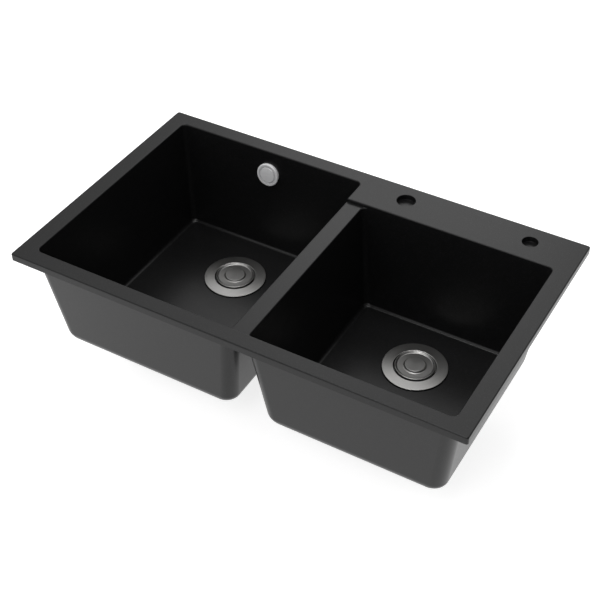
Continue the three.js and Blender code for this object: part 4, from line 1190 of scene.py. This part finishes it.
class Finish:
    """A material, or the studio round the sink, whose nodes are made by expressions."""

    def __init__(self, name, kind="materials"):
        store = getattr(bpy.data, kind)
        self.owner = store.get(name) or store.new(name)
        self.owner.use_nodes = True
        self.tree = self.owner.node_tree
        self.tree.nodes.clear()

    def node(self, kind, settings=None, sockets=None, output=0):
        """Output of a new node, whose settings are set before its sockets."""
        node = self.tree.nodes.new(kind)
        for name, value in (settings or {}).items():
            if name == "stops":
                elements = node.color_ramp.elements
                for _ in value[2:]:
                    elements.new(1)
                for element, (position, level) in zip(elements, value):
                    element.position = position
                    element.color = (level, level, level, 1)
            else:
                setattr(node, name, value)
        for name, value in (sockets or {}).items():
            if isinstance(value, Port):
                self.tree.links.new(value.socket, node.inputs[name])
            else:
                node.inputs[name].default_value = value
        return Port(self, node.outputs[output]) if len(node.outputs) else node

    def millimetres(self):
        """The piece's own coordinates, in millimetres."""
        metres = self.node("ShaderNodeTexCoord", output="Object")
        scale = {"operation": "SCALE"}
        return self.node("ShaderNodeVectorMath", scale, {0: metres, "Scale": 1 / MM})

    def from_axis(self, at):
        """Distance from the piece's own Z axis."""
        flat = self.node("ShaderNodeVectorMath", {"operation": "MULTIPLY"}, {0: at, 1: (1, 1, 0)})
        return self.node("ShaderNodeVectorMath", {"operation": "LENGTH"}, {0: flat}, "Value")

    def noise(self, at, scale, detail):
        sockets = {"Vector": at, "Scale": scale, "Detail": detail}
        return self.node("ShaderNodeTexNoise", {}, sockets, "Fac")

    def mixed(self, share, first, second):
        settings = {"data_type": "RGBA"}
        return self.node("ShaderNodeMix", settings, {0: share, 6: first, 7: second}, 2)

    def ramp(self, value, *stops):
        """Grey level over a value, from its stops (position, level)."""
        return self.node("ShaderNodeValToRGB", {"stops": stops}, {0: value}, "Color")

    def bump(self, height, distance, strength):
        sockets = {"Height": height, "Distance": distance, "Strength": strength}
        return self.node("ShaderNodeBump", {}, sockets)

    def surface(self, **sockets):
        """Ends the material with a Principled surface. Underscores stand for spaces."""
        named = {name.replace("_", " "): value for name, value in sockets.items()}
        shader = self.node("ShaderNodeBsdfPrincipled", {}, named)
        self.node("ShaderNodeOutputMaterial", {}, {"Surface": shader})


def rgba(colour, factor=1.0):
    return (colour[0] * factor, colour[1] * factor, colour[2] * factor, 1)


def composite(look):
    """Near-black quartz composite: a satin skin with fine grain and a few pale grains."""
    finish = Finish("composite")
    at = finish.millimetres()
    cells = {"Vector": at, "Scale": 1.1, "Randomness": 1.0}
    cell = finish.node("ShaderNodeTexVoronoi", {}, cells, "Color")
    chance = finish.node("ShaderNodeSeparateColor", {}, {0: cell}, 0)
    pale = finish.ramp(chance, (0.9, 0), (0.98, 1))
    mottle = finish.noise(at, scale=0.22, detail=3.0)
    grain = finish.noise(at, scale=2.4, detail=3.0)
    ground = finish.mixed(mottle, rgba(look.composite, 0.75), rgba(look.composite, 1.3))
    colour = finish.mixed(pale * look.grain, ground, rgba(look.pale_grain))
    roughness = look.composite_roughness - 0.05 + 0.08 * mottle + 0.06 * grain
    height = grain * 0.7 + pale * 0.3
    finish.surface(
        Base_Color=colour,
        Roughness=roughness,
        IOR=COMPOSITE_IOR,
        Normal=finish.bump(height, 0.05 * MM, 0.35),
    )


def ringed_steel(name, colour, roughness, look, lines, anisotropy):
    """Steel turned or pressed about its own Z axis, with the lines that this leaves."""
    finish = Finish(name)
    at = finish.millimetres()
    radius = finish.from_axis(at)
    parts = finish.node("ShaderNodeSeparateXYZ", {}, {0: at}, 2)
    drift = finish.noise(at, scale=0.05, detail=1.0)
    along = finish.node(
        "ShaderNodeCombineXYZ", {}, {0: radius * lines, 1: parts * lines, 2: drift * 0.8}
    )
    brushing = finish.noise(along, scale=1.0, detail=3.0)
    outward = finish.node("ShaderNodeCombineXYZ", {}, {0: radius * 0.9})
    bands = finish.noise(outward, scale=1.0, detail=2.0)
    smudge = finish.noise(at, scale=0.07, detail=4.0)
    rings = 0.5 * brushing + 0.5 * bands
    tone = finish.mixed(rings, rgba(colour, 0.72), rgba(colour, 1.2))
    finish.surface(
        Base_Color=tone,
        Metallic=1.0,
        Roughness=roughness - 0.06 + 0.12 * brushing + 0.06 * smudge,
        Anisotropic=anisotropy,
        Normal=finish.bump(brushing, look.brushing_depth, 0.5),
    )


def satin_silver(look):
    """Silver satin plating of the overflow cover, with painted shade that darkens its groove."""
    finish = Finish("satin_silver")
    at = finish.millimetres()
    radius = finish.from_axis(at)
    share = radius * (MM / COVER_R)
    # Painted shade: the base colour is pulled towards dark silver over the groove ring, as if it
    # lay in shadow.
    groove = finish.ramp(share, (0.6, 0), (0.7, 1), (0.77, 1), (0.84, 0))
    cloud = finish.noise(at, scale=0.16, detail=2.0)
    tone = finish.mixed(cloud, rgba(look.silver, 0.86), rgba(look.silver, 1.04))
    finish.surface(
        Base_Color=finish.mixed(0.45 * groove, tone, rgba(look.silver, 0.35)),
        Metallic=0.15,
        Roughness=0.32 + 0.12 * cloud,
    )


def moulded(name, colour, roughness, grain_scale, grain_depth, variation):
    """Moulded plastic or rubber with the fine grain of its mould."""
    finish = Finish(name)
    at = finish.millimetres()
    grain = finish.noise(at, scale=grain_scale, detail=2.0)
    cloud = finish.noise(at, scale=0.08, detail=3.0)
    tone = finish.mixed(cloud, rgba(colour, 1 - variation), rgba(colour, 1 + variation))
    finish.surface(
        Base_Color=tone,
        Roughness=roughness - 0.05 + 0.1 * cloud,
        Normal=finish.bump(grain, grain_depth, 0.6),
    )


# --- settings in the sidebar


def number(name, description, default, **kind):
    told = {"name": name, "description": description, "default": default}
    return bpy.props.FloatProperty(min=0, **told, **kind)


def length(*told):
    return number(*told, unit="LENGTH", precision=4)


def colour(name, description, default):
    return bpy.props.FloatVectorProperty(
        name=name, description=description, default=default, subtype="COLOR", min=0, max=1, size=3
    )


def share(*told):
    return number(*told, max=1, subtype="FACTOR")


CAD_LOW, CAD_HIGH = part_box("sink_body")


class SinkSizes(bpy.types.PropertyGroup):
    """Main sizes of the moulding."""

    rim_length: length("Rim length", "Left to right over the rim", CAD_HIGH.x - CAD_LOW.x)
    rim_depth: length("Rim depth", "Front to back over the rim", CAD_HIGH.y - CAD_LOW.y)
    rim_thickness: length("Rim thickness", "Height of the rim on the worktop", CAD_HIGH.z)
    side_band: length("Side band", "Rim beside the bowls", 32 * MM)
    front_band: length("Front band", "Rim in front of the bowls", 28.5 * MM)
    back_band: length("Back band", "Rim behind the left bowl", 30 * MM)
    tap_deck: length("Tap deck", "Deck behind the right bowl", 83.5 * MM)
    left_bowl_width: length("Left bowl", "Width of the left bowl's opening", 377 * MM)
    divider_width: length("Divider", "Width of the divider at the rim", 30 * MM)
    divider_drop: length("Divider drop", "Depth of the divider under the rim", 6 * MM)
    bowl_depth: length("Bowl depth", "From the rim's top to the floor", 200 * MM)
    draft: number(
        "Draft", "Lean of the walls", math.radians(7.1), max=math.radians(20), subtype="ANGLE"
    )


class SinkLooks(bpy.types.PropertyGroup):
    """Colours and gloss of the finishes."""

    composite: colour("Composite", "Colour of the moulding", (0.0056, 0.0056, 0.0058))
    pale_grain: colour("Pale grain", "Colour of the quartz grains", (0.03, 0.03, 0.032))
    grain: share("Grain", "How much the pale grains show", 0.5)
    composite_roughness: share("Composite roughness", "Dullness of the moulding", 0.28)
    steel: colour("Steel", "Colour of the strainers", (0.345, 0.341, 0.334))
    steel_roughness: share("Steel roughness", "Dullness of the brushed steel", 0.28)
    bright: colour("Bright steel", "Colour of the baskets and their stems", (0.95, 0.95, 0.94))
    bright_roughness: share("Bright roughness", "Dullness of the polished steel", 0.2)
    brushing_depth: length("Brushing depth", "Depth of the brushed lines", 0.004 * MM)
    silver: colour("Silver", "Colour of the overflow's cover", (0.9, 0.9, 0.91))
    plastic: colour("Plastic", "Colour of the waste fittings", (0.018, 0.018, 0.019))
    rubber: colour("Rubber", "Colour of the dark seals", (0.012, 0.012, 0.012))
    foam: colour("Foam", "Colour of the seals under the flanges", (0.62, 0.61, 0.58))


class SinkStage(bpy.types.PropertyGroup):
    """Studio round the sink."""

    floor: colour("Floor", "Colour of the studio floor", (0.64, 0.64, 0.64))
    floor_glow: number("Floor glow", "Light that comes through the studio floor", 1.22)
    surroundings: number("Surroundings", "Brightness of the studio walls", 2.15)
    soft_boxes: number("Soft boxes", "Power of the lamps, as a factor", 1.0)


# --- operators


class Maker:
    """What the operators share: each makes its part of the scene from the settings."""

    def execute(self, context):
        self.make(context.scene, Plan(context.scene.sink_sizes))
        return {"FINISHED"}


class SinkFinishes(Maker, bpy.types.Operator):
    """Make the materials of every piece"""

    bl_idname = "sink.finishes"
    bl_label = "Finishes"

    def make(self, scene, plan):
        look = scene.sink_looks
        composite(look)
        steel = (look.steel, look.steel_roughness, look)
        ringed_steel("brushed_steel", *steel, lines=9.0, anisotropy=0.2)
        bright = (look.bright, look.bright_roughness, look)
        ringed_steel("bright_steel", *bright, lines=5.0, anisotropy=0.2)
        satin_silver(look)
        ringed_steel("plated_steel", ZINC, 0.33, look, lines=3.0, anisotropy=0.0)
        for name, tone, roughness, grain_scale, grain_depth, variation in (
            ("black_plastic", look.plastic, 0.42, 3.0, 0.03 * MM, 0.15),
            ("black_seal", look.rubber, 0.75, 2.0, 0.05 * MM, 0.3),
            ("white_seal", look.foam, 0.9, 1.5, 0.15 * MM, 0.15),
        ):
            moulded(name, tone, roughness, grain_scale, grain_depth, variation)


class SinkMoulding(Maker, bpy.types.Operator):
    """Make the one-piece moulding with its two bowls"""

    bl_idname = "sink.moulding"
    bl_label = "Moulding"

    def make(self, scene, plan):
        shape = moulding(plan)
        piece("moulding", shape, "sink_body", "composite", crease=MOULDING_CREASE_DEG)


def for_each_waste(name, node, make, slot, moving=False):
    """Makes a piece in both wastes, on the sink or on the basket of its side."""
    for side in SIDES:
        body = "basket_" + side if moving else "sink"
        piece(f"{name}_{side}", make(), f"{node}_{side}", slot, waste_place(side), body)


class SinkStrainerBowls(Maker, bpy.types.Operator):
    """Make the pressed steel strainer bowls"""

    bl_idname = "sink.strainer_bowls"
    bl_label = "Strainer bowls"

    def make(self, scene, plan):
        for_each_waste("flange_and_cup", "strainer_bowl", strainer_bowl, "brushed_steel")


class SinkSeals(Maker, bpy.types.Operator):
    """Make the seals over and under the sink's floor and behind the overflow"""

    bl_idname = "sink.seals"
    bl_label = "Seals"

    def make(self, scene, plan):
        for_each_waste("flange_foam", "flange_seal", flange_seal, "white_seal")
        for_each_waste("body_washer", "body_gasket", body_gasket, "black_seal")
        shape = overflow_seal(plan.sizes.draft)
        piece("overflow_washer", shape, "overflow_seal", "black_seal", plan.wall_place())


class SinkWasteBodies(Maker, bpy.types.Operator):
    """Make the plastic waste bodies under the sink"""

    bl_idname = "sink.waste_bodies"
    bl_label = "Waste bodies"

    def make(self, scene, plan):
        for side in SIDES:
            shape = waste_body(branched=side == "left")
            node, place = "waste_body_" + side, waste_place(side)
            piece("waste_housing_" + side, shape, node, "black_plastic", place)


class SinkScrews(Maker, bpy.types.Operator):
    """Make the screws of the wastes and the overflow"""

    bl_idname = "sink.screws"
    bl_label = "Screws"

    def make(self, scene, plan):
        for_each_waste("waste_screw", "centre_screw", centre_screw, "plated_steel")
        shape = overflow_screw()
        piece("cover_screw", shape, "overflow_screw", "plated_steel", plan.wall_place())


class SinkBaskets(Maker, bpy.types.Operator):
    """Make the lift-out baskets with their stems and plugs"""

    bl_idname = "sink.baskets"
    bl_label = "Baskets"

    def make(self, scene, plan):
        for_each_waste("strainer_basket", "basket", basket, "bright_steel", moving=True)
        for_each_waste("stem", "basket_stem", basket_stem, "bright_steel", moving=True)
        for_each_waste("plug", "basket_plug", basket_plug, "black_seal", moving=True)


class SinkLids(Maker, bpy.types.Operator):
    """Make the dished lids and their knobs"""

    bl_idname = "sink.lids"
    bl_label = "Lids and knobs"

    def make(self, scene, plan):
        for_each_waste("dished_lid", "basket_lid", basket_lid, "brushed_steel", moving=True)
        for_each_waste("knob", "lid_knob", lid_knob, "brushed_steel", moving=True)


class SinkOverflow(Maker, bpy.types.Operator):
    """Make the overflow's cover, its spider and the elbow behind the wall"""

    bl_idname = "sink.overflow"
    bl_label = "Overflow"

    def make(self, scene, plan):
        place = plan.wall_place()
        cover, spider = overflow_cover(), overflow_spider()
        silver = {"place": place, "finish": "satin_silver"}
        piece("overflow_face", cover, "overflow_cover", "bright_steel", **silver)
        piece("overflow_ring", spider, "overflow_spider", "black_plastic", place)
        elbow = overflow_elbow(plan.sizes.draft)
        piece("overflow_outlet", elbow, "overflow_elbow", "black_plastic", place)


class SinkHose(Maker, bpy.types.Operator):
    """Make the ribbed overflow hose and its two nuts"""

    bl_idname = "sink.hose"
    bl_label = "Hose"

    def make(self, scene, plan):
        line = HoseLine(plan)
        hose = ("ribbed_hose", overflow_hose(line), "overflow_hose", "black_plastic")
        piece(*hose, Matrix.Translation((line.x, 0, 0)), crease=HOSE_CREASE_DEG)
        ends = (("upper", 0, -line.draft), ("lower", line.length, math.pi / 2))
        for name, distance, tilt in ends:
            (y, z), _ = line.at(distance)
            turn = Matrix.Rotation(tilt, 4, "X")
            place = Matrix.Translation((line.x, y, z)) @ turn
            piece(name + "_nut", hose_nut(), "hose_nut_" + name, "black_plastic", place)


# Soft boxes: place, what it looks at, its two sides and its power in watts.
SOFT_BOXES = {
    "top_box": ((-0.1, 0.45, 2.6), (0, 0, 0), (1.1, 1.0), 20),
    "back_box": ((-0.9, 2.4, 1.8), (0.1, 0.1, 0), (1.4, 0.8), 4.9),
    "key_box": ((0.4, -1.9, 2.1), (0, 0, -0.1), (0.6, 1.0), 10),
}
# Brightness of the studio by height, from level to overhead, and from left to right.
STUDIO_HEIGHTS = ((0, 0.45), (0.6, 0.45), (0.67, 1), (0.8, 0.74), (0.87, 0.34), (1, 0.16))
STUDIO_SIDES = ((0.2, 0.6), (0.3, 0.88), (0.38, 1), (0.55, 0.55), (0.75, 0.25))
CAMERA_AT = (0.791927, -1.363786, 1.300397)
CAMERA_TURN_DEG = (48.47943, 0.24654, 30.01412)
CAMERA_LENS = 74.198
CAMERA_SENSOR = 36
FLOOR_SIDE = 60
FLOOR_CLEARANCE = 0.4 * MM


class SinkStageMaker(Maker, bpy.types.Operator):
    """Make the studio floor, the lights and the camera"""

    bl_idname = "sink.stage"
    bl_label = "Stage"

    def make(self, scene, plan):
        self.floor(scene.sink_stage)
        self.lights(scene, scene.sink_stage)
        self.camera(scene)

    def floor(self, settings):
        half = FLOOR_SIDE / 2
        mesh = bpy.data.meshes.new("studio_floor")
        corners = [(-half, -half, 0), (half, -half, 0), (half, half, 0), (-half, half, 0)]
        mesh.from_pydata(corners, [], [(0, 1, 2, 3)])
        floor = placed("studio_floor", mesh)
        floor.location.z = CAD_BOX[0].z - FLOOR_CLEARANCE
        finish = Finish("studio_floor")
        at = finish.millimetres()
        tone = finish.noise(at, scale=0.004, detail=2.0)
        pale = settings.floor
        glow = finish.mixed(tone, rgba(pale, 0.98), rgba(pale))
        finish.surface(
            Base_Color=glow,
            Roughness=0.9,
            Emission_Color=glow,
            Emission_Strength=settings.floor_glow,
        )
        mesh.materials.append(bpy.data.materials["studio_floor"])
        floor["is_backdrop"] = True

    def lights(self, scene, settings):
        for name, (place, target, sides, power) in SOFT_BOXES.items():
            data = bpy.data.lights.new(name, "AREA")
            data.shape = "RECTANGLE"
            data.size, data.size_y = sides
            data.energy = power * settings.soft_boxes
            lamp = placed(name, data)
            lamp.location = place
            way = Vector(target) - Vector(place)
            lamp.rotation_euler = way.to_track_quat("-Z", "Y").to_euler()
        studio = Finish("studio", "worlds")
        way = studio.node("ShaderNodeTexCoord", output="Generated")
        height = studio.node("ShaderNodeSeparateXYZ", {}, {0: way}, 2)
        across = studio.node("ShaderNodeSeparateXYZ", {}, {0: way}, 0)
        walls = studio.ramp(height, *STUDIO_HEIGHTS)
        sides = studio.ramp(across * 0.5 + 0.5, *STUDIO_SIDES)
        sockets = {"Color": walls * sides, "Strength": settings.surroundings}
        light = studio.node("ShaderNodeBackground", {}, sockets)
        studio.node("ShaderNodeOutputWorld", {}, {"Surface": light})
        scene.world = studio.owner
        scene.view_settings.view_transform = "Standard"

    def camera(self, scene):
        data = bpy.data.cameras.new("camera")
        data.lens = CAMERA_LENS
        data.sensor_width = CAMERA_SENSOR
        camera = placed("camera", data)
        camera.location = CAMERA_AT
        camera.rotation_euler = Euler([math.radians(angle) for angle in CAMERA_TURN_DEG])
        scene.camera = camera


class SinkPanel(bpy.types.Panel):
    """Sizes, finishes and pieces of the sink"""

    bl_idname = "VIEW3D_PT_sink"
    bl_label = "Kitchen sink"
    bl_space_type = "VIEW_3D"
    bl_region_type = "UI"
    bl_category = "Sink"

    def draw(self, context):
        scene = context.scene
        for settings in (scene.sink_sizes, scene.sink_looks, scene.sink_stage):
            column = self.layout.column(align=True)
            for name in settings.__annotations__:
                column.prop(settings, name)
        column = self.layout.column(align=True)
        for operator in MAKERS:
            column.operator(operator.bl_idname)


MAKERS = (
    SinkFinishes,
    SinkMoulding,
    SinkStrainerBowls,
    SinkSeals,
    SinkWasteBodies,
    SinkScrews,
    SinkBaskets,
    SinkLids,
    SinkOverflow,
    SinkHose,
    SinkStageMaker,
)
CLASSES = (SinkSizes, SinkLooks, SinkStage, *MAKERS, SinkPanel)


def register():
    for cls in CLASSES:
        bpy.utils.register_class(cls)
    bpy.types.Scene.sink_sizes = bpy.props.PointerProperty(type=SinkSizes)
    bpy.types.Scene.sink_looks = bpy.props.PointerProperty(type=SinkLooks)
    bpy.types.Scene.sink_stage = bpy.props.PointerProperty(type=SinkStage)


def unregister():
    for name in ("sink_sizes", "sink_looks", "sink_stage"):
        delattr(bpy.types.Scene, name)
    for cls in reversed(CLASSES):
        bpy.utils.unregister_class(cls)


def main():
    register()
    bpy.ops.sink.finishes()
    bpy.ops.sink.moulding()
    bpy.ops.sink.strainer_bowls()
    bpy.ops.sink.seals()
    bpy.ops.sink.waste_bodies()
    bpy.ops.sink.screws()
    bpy.ops.sink.baskets()
    bpy.ops.sink.lids()
    bpy.ops.sink.overflow()
    bpy.ops.sink.hose()
    bpy.ops.sink.stage()
    boxes = {"cad": CAD_BOX, "visual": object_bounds()}
    {name: [list(corner) for corner in box] for name, box in boxes.items()}


if __name__ == "__main__":
    main()
